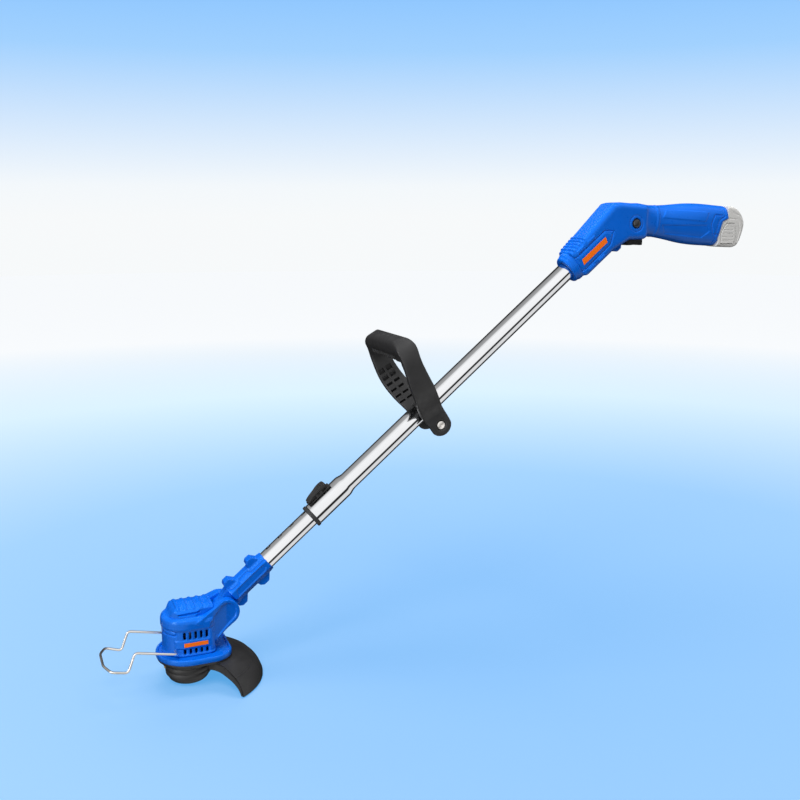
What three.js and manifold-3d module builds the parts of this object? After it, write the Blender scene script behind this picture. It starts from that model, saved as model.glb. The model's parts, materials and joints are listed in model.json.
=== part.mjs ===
// A cordless string trimmer: a motor head with a bump-feed spool and a rear guard, a telescopic shaft with a
// latch, a loop-shaped assist handle, and a rear handle with a trigger and a stick battery.
// Millimetres. +Z is up along the spool's axis, +X runs back to the user, and the tool is symmetric about Y = 0.
// The origin is the middle of the bump cap's flat underside.

import * as THREE from "three";
import { mergeVertices } from "three/addons/utils/BufferGeometryUtils.js";
import Module from "manifold-3d";

const wasm = await Module();
wasm.setup();

// ---------------------------------------------------------------- driving dimensions
const GAP = 0.3;                       // air between pieces that touch on the real tool
const RUNNING_GAP = 0.5;               // air beside pieces that move
const SPLIT = 0.15;                    // half of the air between the two halves of a shell

const SHAFT_ANGLE = THREE.MathUtils.degToRad(39.4);
const SHAFT_FOOT = { x: 46.5, z: 94.6 }; // where the shaft's own X starts
const PIVOT = { x: 47, z: 88.3 };      // where the head tilts, a little below the shaft's axis
const KNUCKLE_RADIUS = 14;
const EAR_RADIUS = 17;
const EAR_INNER = 8.7;
const EAR_ROOT = 27;                   // the ears draw in from this half width at the housing
const EAR_TIP = 20.5;                  // to this one at their round ends
const TILT_PIN_RADIUS = 3;

const HOUSING_RADIUS = 29.5;            // the front of the housing is half a cylinder of this radius
const HOUSING_CENTRE = -1.5;
const HOUSING_REAR = 31;
const HOUSING_WALL = 2.5;
const HOUSING_BOTTOM = 43.4;
const HOUSING_TOP = 87;
const BAND_BOTTOM = 76.5;               // the thicker band round the top of the housing
const BAND_STEP = 1.2;
const CAP_TOP = 104.6;
const CAP_NECK = 20;                   // half width of the cap between the ears
const FLANGE = { bottom: 35.5, top: 43, radius: 42.5, centre: 3, rear: 55, corner: 24 };
const WIRE_PIVOT = { x: -19, z: 50.5 }; // where the plant guard folds

const GUARD_PLATE = { bottom: 31.5, top: 35.2, inner: 31.3 };
const GUARD_SPREAD = THREE.MathUtils.degToRad(56);
const GUARD_RIM = 93;
const CUTTER_ANGLE = THREE.MathUtils.degToRad(-45);

const SPOOL_RADIUS = 29;
const SPOOL_BOTTOM = 11;
const SPOOL_TOP = 34.2;
const BUMP_CAP_RADIUS = 26.3;
const MOTOR_SHAFT_RADIUS = 1.6;
const MOTOR_RADIUS = 18;
const MOTOR_BOTTOM = 47.8;
const MOTOR_TOP = 90;

const LOWER_TUBE = { outer: 11.65, inner: 10.65, start: 25, end: 437 };
const UPPER_TUBE = { outer: 12.7, inner: 12, end: 700 };
const COLLAR = { outer: 15, inner: 13.6, start: 159, end: 211, taperEnd: 223 };
const SLOT_PITCH = 20.5;               // detent slots along the lower tube
const FIRST_SLOT = 88.5;
const SLOT_COUNT = 10;
const SOCKET_END = 76;
const SOCKET_RADIUS = 13;
const LATCH_PIN = { along: 182, up: 19 };
const LATCH_TOOTH = FIRST_SLOT + 4 * SLOT_PITCH;

const LOOP_BOLT = { along: 361, up: -24 };
const LOOP_LEAN = THREE.MathUtils.degToRad(10);
const CLAMP_HALF_LENGTH = 15;
const ARM_INNER = 18.3;
const ARM_OUTER = 26;

const BARREL = { height: 23, squeeze: 0.84 };
const HANDLE_HALF_WIDTH = 19.3;
const TUBE_SEAT = 702;                 // the upper tube's seat ends here, measured from the tilt pivot
const TRIGGER_PIVOT = { x: 637, z: 550 };
// The rear handle is laid out from the trigger's pivot.
const GRIP = { x: 32, z: 21.6, drop: THREE.MathUtils.degToRad(3.6), squeeze: 0.76 };
const LOCK_OFF = { x: 8, z: 17.5, radius: 6.2 };
const BATTERY_HALF_WIDTH = 20.5;

const FINISH = {
  blue: { color: 0x0d6be0, roughness: 0.35, metalness: 0 },
  black: { color: 0x26282b, roughness: 0.55, metalness: 0 },
  chrome: { color: 0xd9dcdf, roughness: 0.12, metalness: 1 },
  steel: { color: 0xa9adb2, roughness: 0.35, metalness: 1 },
  copper: { color: 0xb56b3c, roughness: 0.4, metalness: 1 },
  brass: { color: 0xc9a24a, roughness: 0.35, metalness: 1 },
  battery: { color: 0xd2d2cf, roughness: 0.5, metalness: 0 },
  line: { color: 0xe8b31a, roughness: 0.4, metalness: 0 },
  magnet: { color: 0x3a3a3d, roughness: 0.7, metalness: 0.2 },
};

// ---------------------------------------------------------------- shape helpers
// Turns the geometry's triangles over if they face inwards.
function facingOut(geometry) {
  const position = geometry.attributes.position;
  const index = geometry.index;
  const corners = [new THREE.Vector3(), new THREE.Vector3(), new THREE.Vector3()];
  let volume = 0;
  for (let i = 0; i < index.count; i += 3) {
    corners.forEach((corner, k) => corner.fromBufferAttribute(position, index.getX(i + k)));
    volume += corners[0].dot(corners[1].clone().cross(corners[2]));
  }
  if (volume < 0) {
    for (let i = 0; i < index.count; i += 3) {
      const first = index.getX(i);
      index.setX(i, index.getX(i + 2));
      index.setX(i + 2, first);
    }
  }
  return geometry;
}

// Merges the shared corners, drops triangles that closed up to nothing, and faces the rest out.
function closed(geometry) {
  geometry.deleteAttribute("normal");
  geometry.deleteAttribute("uv");
  const merged = mergeVertices(geometry, 1e-4);
  const kept = [];
  for (let i = 0; i < merged.index.count; i += 3) {
    const [a, b, c] = [0, 1, 2].map((k) => merged.index.getX(i + k));
    if (a !== b && b !== c && c !== a) kept.push(a, b, c);
  }
  merged.setIndex(kept);
  return facingOut(merged);
}

function toSolid(geometry) {
  const whole = closed(geometry.clone());
  return new wasm.Manifold(new wasm.Mesh({
    numProp: 3,
    vertProperties: new Float32Array(whole.attributes.position.array),
    triVerts: new Uint32Array(whole.index.array),
  }));
}

function toGeometry(manifold) {
  const mesh = manifold.getMesh();
  const geometry = new THREE.BufferGeometry();
  geometry.setAttribute("position", new THREE.BufferAttribute(mesh.vertProperties, mesh.numProp));
  geometry.setIndex(new THREE.BufferAttribute(mesh.triVerts, 1));
  return geometry;
}

function join(first, ...others) {
  return toGeometry(others.reduce((whole, part) => whole.add(toSolid(part)), toSolid(first)));
}

function cut(first, ...others) {
  return toGeometry(others.reduce((whole, part) => whole.subtract(toSolid(part)), toSolid(first)));
}

function overlap(first, second) {
  return toGeometry(toSolid(first).intersect(toSolid(second)));
}

const AXIS = {
  X: new THREE.Vector3(1, 0, 0),
  Y: new THREE.Vector3(0, 1, 0),
  Z: new THREE.Vector3(0, 0, 1),
};
const STAND_UP = new THREE.Matrix4().makeBasis(AXIS.X, AXIS.Z, AXIS.Y.clone().negate());
const LIE_ALONG_X = new THREE.Matrix4().makeBasis(AXIS.Y, AXIS.Z, AXIS.X);
const SPIN_ABOUT_X = new THREE.Matrix4().makeBasis(AXIS.Z, AXIS.X, AXIS.Y);

function extrude(outline, depth, bevel) {
  const shape = new THREE.Shape(outline.map(([x, y]) => new THREE.Vector2(x, y)));
  return new THREE.ExtrudeGeometry(shape, {
    depth: depth - 2 * bevel,
    bevelEnabled: bevel > 0,
    bevelThickness: bevel,
    bevelSize: bevel,
    bevelOffset: -bevel,
    bevelSegments: 2,
    curveSegments: 1,
  }).translate(0, 0, bevel);
}

// An outline of [x, z] points, given thickness from y = low to y = high.
function alongY(outline, low, high, bevel = 0) {
  return closed(extrude(outline, high - low, bevel).applyMatrix4(STAND_UP).translate(0, high, 0));
}

// An outline of [x, y] points, given thickness from z = low to z = high.
function alongZ(outline, low, high, bevel = 0) {
  return closed(extrude(outline, high - low, bevel).translate(0, 0, low));
}

// An outline of [y, z] points, given thickness from x = low to x = high.
function alongX(outline, low, high) {
  return closed(extrude(outline, high - low, 0).applyMatrix4(LIE_ALONG_X).translate(low, 0, 0));
}

function turned(profile, segments) {
  return new THREE.LatheGeometry(profile.map(([r, h]) => new THREE.Vector2(r, h)), segments);
}

// Turned pieces: a profile of [radius, height] points spun about the named axis.
function turnedZ(profile, segments = 28) {
  return closed(turned(profile, segments).applyMatrix4(STAND_UP));
}

function turnedX(profile, segments = 20) {
  return closed(turned(profile, segments).applyMatrix4(SPIN_ABOUT_X));
}

function turnedY(profile, segments = 16) {
  return closed(turned(profile, segments));
}

function rod(radius, low, high) {
  return [[0, low], [radius, low], [radius, high], [0, high]];
}

function sleeve(inner, outer, low, high) {
  return [[inner, low], [outer, low], [outer, high], [inner, high], [inner, low]];
}

function box(x0, x1, y0, y1, z0, z1) {
  const geometry = new THREE.BoxGeometry(x1 - x0, y1 - y0, z1 - z0);
  return closed(geometry.translate((x0 + x1) / 2, (y0 + y1) / 2, (z0 + z1) / 2));
}

// Points on an arc, in degrees, both ends included.
function arc(cx, cy, radius, from, to, steps) {
  return Array.from({ length: steps + 1 }, (_, i) => {
    const angle = THREE.MathUtils.degToRad(from + ((to - from) * i) / steps);
    return [cx + radius * Math.cos(angle), cy + radius * Math.sin(angle)];
  });
}

function mirroredY(outline) {
  return outline.map(([x, y]) => [-x, y]).reverse();
}

class Helix extends THREE.Curve {
  constructor(radius, length, turns) {
    super();
    Object.assign(this, { radius, length, turns });
  }

  getPoint(t, target = new THREE.Vector3()) {
    const angle = 2 * Math.PI * this.turns * t;
    return target.set(this.radius * Math.cos(angle), this.radius * Math.sin(angle), this.length * t);
  }
}

// A coil spring that stands on the origin, along +Z.
function spring(radius, wire, turns, length) {
  const section = new THREE.Shape(arc(0, 0, wire / 2, 0, 270, 3).map(([x, y]) => new THREE.Vector2(x, y)));
  const path = new Helix(radius, length, turns);
  return closed(new THREE.ExtrudeGeometry(section, { steps: turns * 8, extrudePath: path }));
}

// A pan-head screw along +Y: its head sits at y = 0 and below, its shank points to +Y.
function screw(length, headRadius = 2.8, shankRadius = 1.5) {
  return turnedY([[0, -2], [headRadius * 0.7, -2], [headRadius, -1], [headRadius, 0], [shankRadius, 0],
    [shankRadius, length], [0, length]], 8);
}

function screwHole(length, headRadius = 2.8, shankRadius = 1.5) {
  return turnedY([[0, -20], [headRadius + GAP, -20], [headRadius + GAP, GAP], [shankRadius + GAP, GAP],
    [shankRadius + GAP, length + GAP], [0, length + GAP]], 8);
}

function piece(parent, name, geometry, finish) {
  const mesh = new THREE.Mesh(closed(geometry), new THREE.MeshStandardMaterial(FINISH[finish]));
  mesh.name = name;
  parent.add(mesh);
}

// The two halves of a shell that parts on the middle plane.
function halves(geometry) {
  const side = (low, high) => overlap(geometry, box(-200, 1200, low, high, -200, 1200));
  return { left: side(-100, -SPLIT), right: side(SPLIT, 100) };
}

const trimmer = new THREE.Group();
const shaft = new THREE.Group();       // its X runs up the shaft from the tilt pivot, its Z out of the shaft's top
shaft.position.set(SHAFT_FOOT.x, 0, SHAFT_FOOT.z);
shaft.rotation.y = -SHAFT_ANGLE;
trimmer.add(shaft);

// ---------------------------------------------------------------- motor housing, cap and flange
function housingPlan(offset) {
  const radius = HOUSING_RADIUS + offset;
  const corner = 8 + offset;
  const rear = HOUSING_REAR - 8;
  return [...arc(HOUSING_CENTRE, 0, radius, 90, 270, 16), ...arc(rear, -radius + corner, corner, 270, 360, 3),
    ...arc(rear, radius - corner, corner, 0, 90, 3)];
}

// One hinge ear: a round end about the tilt pivot with straight edges back to the housing, drawn in towards the end.
function ear(side) {
  const outline = [[8, 70], [8, HOUSING_TOP - 0.5], ...arc(PIVOT.x, PIVOT.z, EAR_RADIUS, 118, -54, 12),
    [HOUSING_REAR, 56.5], [20, 56.5]];
  const tip = PIVOT.x + EAR_RADIUS;
  const plan = [[0, EAR_INNER], [tip + 5, EAR_INNER], [tip + 5, EAR_TIP], [PIVOT.x, EAR_TIP],
    [HOUSING_REAR - 3, EAR_ROOT], [0, EAR_ROOT]];
  const placed = side > 0 ? plan : plan.map(([x, y]) => [x, -y]).reverse();
  return overlap(alongY(outline, -40, 40), alongZ(placed, 0, 200));
}

function addHousing() {
  const bottom = HOUSING_BOTTOM;
  const wall = join(alongZ(housingPlan(0), bottom, HOUSING_TOP),
    alongZ(housingPlan(BAND_STEP), BAND_BOTTOM, HOUSING_TOP));
  const hollow = alongZ(housingPlan(-HOUSING_WALL), bottom - 5, HOUSING_TOP + 5);
  const pinHole = turnedY(rod(TILT_PIN_RADIUS + GAP, -18.3, 18.3), 12).translate(PIVOT.x, 0, PIVOT.z);
  const wireHole = turnedY(rod(1.9, -40, 40), 8).translate(WIRE_PIVOT.x, 0, WIRE_PIVOT.z);
  const vents = [];
  const [firstVent, ventPitch, ventWidth] = [-9.4, 6.8, 3];
  for (let column = 0; column < 5; column += 1) {
    const x = firstVent + column * ventPitch;
    for (const [low, high] of [[45.5, 52.5], [64.5, 75]]) vents.push(box(x, x + ventWidth, -40, 40, low, high));
  }
  const motorRoom = turnedZ(rod(MOTOR_RADIUS + 1, bottom - 5, 98));
  const capRoom = box(-40, HOUSING_REAR, -CAP_NECK - GAP, CAP_NECK + GAP, HOUSING_TOP, 130);
  const shell = cut(join(cut(wall, hollow), ear(-1), ear(1)), motorRoom, capRoom);
  piece(trimmer, "motor_housing", cut(shell, pinHole, wireHole, ...vents), "blue");

  const capBottom = HOUSING_TOP + GAP;
  const rear = HOUSING_REAR - 0.4;
  const capSide = [[-30, capBottom], [-26, 91.5], [-22.5, 93], [-18.5, 98.5], [-14.5, 102], [-8, 104],
    [0, CAP_TOP], [8, 104.2], [18, 103], [rear, 102.6], [rear, capBottom]];
  const [shoulder, domeWidth, domeBottom] = [28, 24.5, 92.5];
  const capFront = [[shoulder, capBottom], [domeWidth + 0.5, 91.5], ...arc(0, 0, 1, 0, 180, 12)
    .map(([c, d]) => [domeWidth * c, domeBottom + (CAP_TOP - domeBottom) * d]), [-domeWidth - 0.5, 91.5],
    [-shoulder, capBottom]];
  const neckStart = 7.4;
  const capPlan = [...arc(HOUSING_CENTRE, 0, shoulder, 90, 270, 12), [neckStart, -shoulder], [neckStart, -CAP_NECK],
    [rear, -CAP_NECK], [rear, CAP_NECK], [neckStart, CAP_NECK], [neckStart, shoulder]];
  const dome = overlap(overlap(alongY(capSide, -30, 30), alongX(capFront, -40, 40)), alongZ(capPlan, 80, 130));
  piece(trimmer, "top_cap", cut(dome, motorRoom), "blue");

  const hubHole = turnedZ(rod(7, 0, 60), 20);
  const flange = cut(alongZ(flangePlan(0), FLANGE.bottom, FLANGE.top, 2), hubHole, ...guardScrewHoles());
  piece(trimmer, "base_flange", flange, "blue");
  piece(trimmer, "tilt_pin", turnedY(rod(TILT_PIN_RADIUS, -18, 18), 12).translate(PIVOT.x, 0, PIVOT.z), "steel");
}

function flangePlan(offset) {
  const { radius, centre, rear, corner } = FLANGE;
  const side = radius - corner;
  return [...arc(centre, 0, radius + offset, 90, 270, 18), ...arc(rear - corner, -side, corner + offset, 270, 360, 5),
    ...arc(rear - corner, side, corner + offset, 0, 90, 5)];
}

// ---------------------------------------------------------------- guard and line cutter
const GUARD_SCREW = { y: 35.6, head: 31.2, length: 9.5 };

function placedGuardScrew(geometry, side) {
  return geometry.rotateX(Math.PI / 2).translate(0, side * GUARD_SCREW.y, GUARD_SCREW.head);
}

function guardScrewHoles() {
  return [-1, 1].map((side) => placedGuardScrew(screwHole(GUARD_SCREW.length), side));
}

const CUTTER_FACE = GUARD_RIM - 8.7;

function atCutter(geometry) {
  return geometry.rotateZ(-Math.PI / 2).translate(CUTTER_FACE, 0, 6.6).rotateZ(CUTTER_ANGLE);
}

function addGuard() {
  const outside = [[36, 35.2], [60, 32.5], [75, 26], [86, 17], [91, 8.5], [GUARD_RIM, 0.5]];
  const inside = [[GUARD_RIM - 2.4, 0.5], [88.6, 8], [84, 15.6], [73.5, 23.6], [59, 29.8], [36, 32]];
  const lipInside = [[GUARD_RIM - 4, 0.5], [85, 7.5], [77, 14], [67, 18.5], [56, 22], [45, 22.5], [36, 21]];
  const reach = 160;
  const edge = (angle) => [reach * Math.cos(angle), reach * Math.sin(angle)];
  const wedge = (from, to) => alongZ([[0, 0], edge(from), edge((from + to) / 2), edge(to)], -10, 60);
  const skirt = overlap(turnedZ([...outside, ...inside, outside[0]], 60), wedge(-GUARD_SPREAD, GUARD_SPREAD));
  const lipRing = turnedZ([...outside, ...lipInside, outside[0]], 60);
  const lipAngle = 0.05;
  const lips = [-1, 1].map((side) => overlap(lipRing, side < 0
    ? wedge(-GUARD_SPREAD, -GUARD_SPREAD + lipAngle) : wedge(GUARD_SPREAD - lipAngle, GUARD_SPREAD)));
  const plate = cut(alongZ(flangePlan(-1), GUARD_PLATE.bottom, GUARD_PLATE.top),
    turnedZ(rod(GUARD_PLATE.inner, 0, 60), 32));
  const collar = turnedZ(sleeve(GUARD_PLATE.inner, 33.6, 27, 33), 32);
  const spoolRoom = turnedZ(rod(GUARD_PLATE.inner, -20, 60), 32);
  const body = cut(join(plate, skirt, ...lips, collar), spoolRoom);
  piece(trimmer, "guard", cut(body, ...guardScrewHoles(), atCutter(screwHole(5))), "black");
  for (const [name, side] of [["guard_screw_1", -1], ["guard_screw_2", 1]]) {
    piece(trimmer, name, placedGuardScrew(screw(GUARD_SCREW.length), side), "steel");
  }

  const blade = box(CUTTER_FACE + GAP, CUTTER_FACE + 1.5, -8, 8, 2.6, 11).rotateZ(CUTTER_ANGLE);
  piece(trimmer, "cutter_blade", cut(blade, atCutter(turnedY(rod(1.8, -5, 8), 12))), "steel");
  piece(trimmer, "cutter_screw", atCutter(screw(5)), "steel");
}

// ---------------------------------------------------------------- motor and rotor
function addMotor() {
  const { PI } = Math;
  const floor = MOTOR_BOTTOM + 1.8;
  piece(trimmer, "motor_can", turnedZ([[6, MOTOR_BOTTOM], [MOTOR_RADIUS, MOTOR_BOTTOM], [MOTOR_RADIUS, MOTOR_TOP],
    [16.8, MOTOR_TOP], [16.8, floor], [6, floor], [6, MOTOR_BOTTOM]], 24), "steel");
  piece(trimmer, "motor_end_bell", turnedZ(sleeve(6, MOTOR_RADIUS, MOTOR_TOP + GAP, 96), 24), "black");
  const magnetArc = [...arc(0, 0, 16.5, -60, 60, 8), ...arc(0, 0, 13.6, 60, -60, 8)];
  const magnet = alongZ(magnetArc, 53, 86);
  piece(trimmer, "magnet_left", magnet.clone().rotateZ(-PI / 2), "magnet");
  piece(trimmer, "magnet_right", magnet.clone().rotateZ(PI / 2), "magnet");
  const bore = MOTOR_SHAFT_RADIUS + GAP;
  piece(trimmer, "bearing_lower", turnedZ(sleeve(bore, 5.6, MOTOR_BOTTOM + 0.2, 51.5), 16), "steel");
  piece(trimmer, "bearing_upper", turnedZ(sleeve(bore, 5.6, 91, 95), 16), "steel");

  piece(trimmer, "motor_shaft", turnedZ(rod(MOTOR_SHAFT_RADIUS, 18, 96.5), 10), "steel");
  piece(trimmer, "armature", turnedZ([[bore, 55], [12.6, 55], [12.6, 80], [7, 81], [7, 88], [bore, 88], [bore, 55]],
    24), "copper");
  const blades = Array.from({ length: 8 }, (_, i) => box(5, 20, -0.6, 0.6, 44, 47.2).rotateZ((i * PI) / 4));
  piece(trimmer, "cooling_fan", join(turnedZ(sleeve(bore, 6, 43.8, 47.2), 16),
    turnedZ(sleeve(5, 20, 43.8, 44.6), 20), ...blades), "black");
  piece(trimmer, "drive_hub", turnedZ(sleeve(bore, 4, 28.5, 43.4), 14), "brass");
}

function addSpool() {
  const wall = 2.1;
  const inner = SPOOL_RADIUS - wall;
  const ceiling = SPOOL_TOP - 2.6;
  const hubRoom = 4 + GAP;
  const eyeletHeight = 22;
  const cup = turnedZ([[hubRoom, SPOOL_TOP], [SPOOL_RADIUS - 1, SPOOL_TOP], [SPOOL_RADIUS, SPOOL_TOP - 1],
    [SPOOL_RADIUS, SPOOL_BOTTOM], [inner, SPOOL_BOTTOM], [inner, ceiling], [hubRoom, ceiling],
    [hubRoom, SPOOL_TOP]], 32);
  const eyeletHole = turnedX(rod(1.9 + GAP, -40, 40), 10).translate(0, 0, eyeletHeight);
  piece(trimmer, "spool_housing", cut(cup, eyeletHole), "black");
  const eyelet = turnedX([[1.1, inner - 0.3], [1.9, inner - 0.3], [1.9, SPOOL_RADIUS + 0.4],
    [2.8, SPOOL_RADIUS + 0.4], [2.8, SPOOL_RADIUS + 1.2], [1.1, SPOOL_RADIUS + 1.2], [1.1, inner - 0.3]], 10)
    .translate(0, 0, eyeletHeight);
  piece(trimmer, "line_eyelet_rear", eyelet.clone(), "brass");
  piece(trimmer, "line_eyelet_front", eyelet.clone().rotateZ(Math.PI), "brass");
  piece(trimmer, "bump_spring", spring(5.4, 1, 6, 25).translate(0, 0, 5), "steel");

  piece(trimmer, "bump_cap", turnedZ([[0, 0], [12, 0], [19, 1.6], [24, 5], [BUMP_CAP_RADIUS, 9.5],
    [BUMP_CAP_RADIUS, 12.6], [24, 12.6], [23.3, 9.5], [18, 5.5], [10, 3.6], [0, 3.6]], 32), "black");
  piece(trimmer, "line_reel", turnedZ([[8, 12.9], [25.5, 12.9], [25.5, 14.6], [11, 14.6], [11, 25],
    [25.5, 25], [25.5, 26.7], [8, 26.7], [8, 12.9]], 24), "black");
  piece(trimmer, "cutting_line", turnedZ([[11.3, 14.9], [22, 14.9], [23.2, 16.5], [23.2, 23.2], [22, 24.7],
    [11.3, 24.7], [11.3, 14.9]], 24), "line");
}

// ---------------------------------------------------------------- folding wire guard for plants
function addWireGuard() {
  const [half, wide] = [33, 36];
  const { x: pivotX, z: pivotZ } = WIRE_PIVOT;
  const corners = [[pivotX, 22.6, pivotZ], [pivotX, half, pivotZ], [pivotX - 47, half, pivotZ + 11],
    [pivotX - 58.5, half, pivotZ - 13], [pivotX - 78, wide, pivotZ - 7.5], [pivotX - 85.5, wide / 2, pivotZ - 6]];
  const points = [...corners, ...corners.map(([x, y, z]) => [x, -y, z]).reverse()]
    .map(([x, y, z]) => new THREE.Vector3(x, y, z));
  const bendRadius = 4;
  const path = new THREE.CurvePath();
  let start = points[0];
  for (let i = 1; i < points.length - 1; i += 1) {
    const corner = points[i];
    const before = corner.clone().lerp(points[i - 1], bendRadius / corner.distanceTo(points[i - 1]));
    const after = corner.clone().lerp(points[i + 1], bendRadius / corner.distanceTo(points[i + 1]));
    path.add(new THREE.LineCurve3(start, before));
    path.add(new THREE.QuadraticBezierCurve3(before, corner, after));
    start = after;
  }
  path.add(new THREE.LineCurve3(start, points.at(-1)));
  const section = new THREE.Shape(arc(0, 0, 1.5, 0, 300, 5).map(([x, y]) => new THREE.Vector2(x, y)));
  const wire = new THREE.ExtrudeGeometry(section, { steps: 84, extrudePath: path });
  piece(trimmer, "wire_guard", wire, "chrome");
}

// ---------------------------------------------------------------- lower shaft: socket and tube
const SOCKET_SCREWS = [[22, 16.6], [60.5, 16.6], [19, -16.6], [57, -16.6]];

function addLowerShaft() {
  const lugs = [
    [[14, 8], [16, 18], [19, 20.5], [26, 20.5], [31, 13], [31, 8]],
    [[52, 8], [54, 18], [57, 20.5], [64, 20.5], [69, 13], [69, 8]],
    [[11, -8], [12, -17], [16, -20.5], [23, -20.5], [30, -13], [30, -8]],
    [[47, -8], [49, -17], [53, -20.5], [61, -20.5], [68, -13], [68, -8]],
  ];
  const eightSided = turnedX(rod(SOCKET_RADIUS / Math.cos(Math.PI / 8), 15, SOCKET_END), 8).rotateX(Math.PI / 8);
  const tongueHalf = EAR_INNER - RUNNING_GAP;
  const knee = new THREE.Vector3(PIVOT.x - SHAFT_FOOT.x, 0, PIVOT.z - SHAFT_FOOT.z)
    .applyAxisAngle(new THREE.Vector3(0, 1, 0), SHAFT_ANGLE);
  let socket = join(overlap(eightSided, turnedX(rod(SOCKET_RADIUS + 0.6, 0, SOCKET_END), 24)),
    turnedY(rod(KNUCKLE_RADIUS, -tongueHalf, tongueHalf), 24).translate(knee.x, 0, knee.z),
    alongY([[knee.x, -12], [18, -12], [18, 12.5], [4, 9], [knee.x, 8]], -tongueHalf, tongueHalf));
  socket = join(socket, ...lugs.map((lug) => alongY(lug, -7, 7)));
  const tubeSeat = turnedX(rod(LOWER_TUBE.outer + GAP, LOWER_TUBE.start - 1, SOCKET_END + 5), 24);
  const pinHole = turnedY(rod(TILT_PIN_RADIUS + GAP, -30, 30), 12).translate(knee.x, 0, knee.z);
  const screwPlaces = SOCKET_SCREWS.map(([along, up]) => (geometry) => geometry
    .rotateX(Math.PI).translate(along, 5, up));
  socket = cut(socket, tubeSeat, pinHole, ...screwPlaces.map((place) => place(screwHole(10, 2.3, 1.3))));
  const { left, right } = halves(socket);
  piece(shaft, "socket_left", left, "blue");
  piece(shaft, "socket_right", right, "blue");
  screwPlaces.forEach((place, i) => piece(shaft, `socket_screw_${i + 1}`, place(screw(10, 2.3, 1.3)), "steel"));

  const { outer, inner, start, end } = LOWER_TUBE;
  const slots = Array.from({ length: SLOT_COUNT }, (_, i) => {
    const middle = FIRST_SLOT + i * SLOT_PITCH;
    return box(middle - 3.5, middle + 3.5, -2.5, 2.5, 8, 14);
  });
  piece(shaft, "lower_tube", cut(turnedX(sleeve(inner, outer, start, end), 24), ...slots), "chrome");
  piece(shaft, "lower_lead", turnedX(rod(2, start + 2, 335), 8), "black");
}

// ---------------------------------------------------------------- upper tube, latch and leads
function addUpperTube() {
  const { outer, inner, end } = UPPER_TUBE;
  const tube = turnedX([[COLLAR.inner, COLLAR.start], [COLLAR.outer, COLLAR.start], [COLLAR.outer, COLLAR.end],
    [outer, COLLAR.taperEnd], [outer, end], [inner, end], [inner, COLLAR.taperEnd + 1.5],
    [COLLAR.inner, COLLAR.end + 1.5], [COLLAR.inner, COLLAR.start]], 24);
  const window = box(LATCH_TOOTH - 4, LATCH_TOOTH + 4, -3.5, 3.5, 9, 20);
  piece(shaft, "upper_tube", cut(tube, window), "chrome");
  const bore = LOWER_TUBE.outer + GAP;
  const bushing = turnedX([[bore, 154], [15.2, 154], [15.9, 154.8], [15.9, 158.6], [COLLAR.inner - GAP, 158.6],
    [COLLAR.inner - GAP, 205], [bore, 205], [bore, 154]], 24);
  piece(shaft, "tube_bushing", cut(bushing, window), "black");
  piece(shaft, "coiled_lead", turnedX(sleeve(3.2, 6.5, 320, 690), 12), "black");
}

function addLatch() {
  const { along, up } = LATCH_PIN;
  const base = box(163, 200, -7, 7, COLLAR.outer + GAP, 16.3);
  const cheeks = [-1, 1].map((side) => box(along - 5, along + 5, side < 0 ? -7 : 5.4, side < 0 ? -5.4 : 7,
    16, 20.6));
  const toothRoom = box(LATCH_TOOTH - 4.5, LATCH_TOOTH + 4.5, -3.5, 3.5, 10, 20);
  const pinHole = turnedY(rod(1.5 + GAP, -10, 10), 12).translate(along, 0, up);
  piece(shaft, "latch_bracket", cut(join(base, ...cheeks), toothRoom, pinHole), "black");
  piece(shaft, "latch_pin", turnedY(rod(1.5, -6.9, 6.9), 12).translate(along, 0, up), "steel");

  const lower = [[164, 17.2], [164, 19.5], [174, 21.8], [197.5, 21.8], [197.5, 19.6], [187, 17.2]];
  const upper = [[172, 21.2], [176, 21.8], [186, 24.4], [195, 24.4], [197, 23], [197, 21.2]];
  const paddle = join(alongY(lower, -5, 5), alongY(upper, -7.2, 7.2));
  const tooth = box(LATCH_TOOTH - 2.7, LATCH_TOOTH + 2.7, -2, 2, 12, 20);
  const springRoom = box(along - 3.6, along + 3.6, -3, 3, 10, 21.9);
  piece(shaft, "latch_lever", cut(join(paddle, tooth), springRoom, pinHole), "black");
  const coil = spring(2.3, 0.5, 5, 4.8).rotateX(-Math.PI / 2).translate(along, -2.4, up);
  piece(shaft, "latch_spring", coil, "steel");
}

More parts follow.
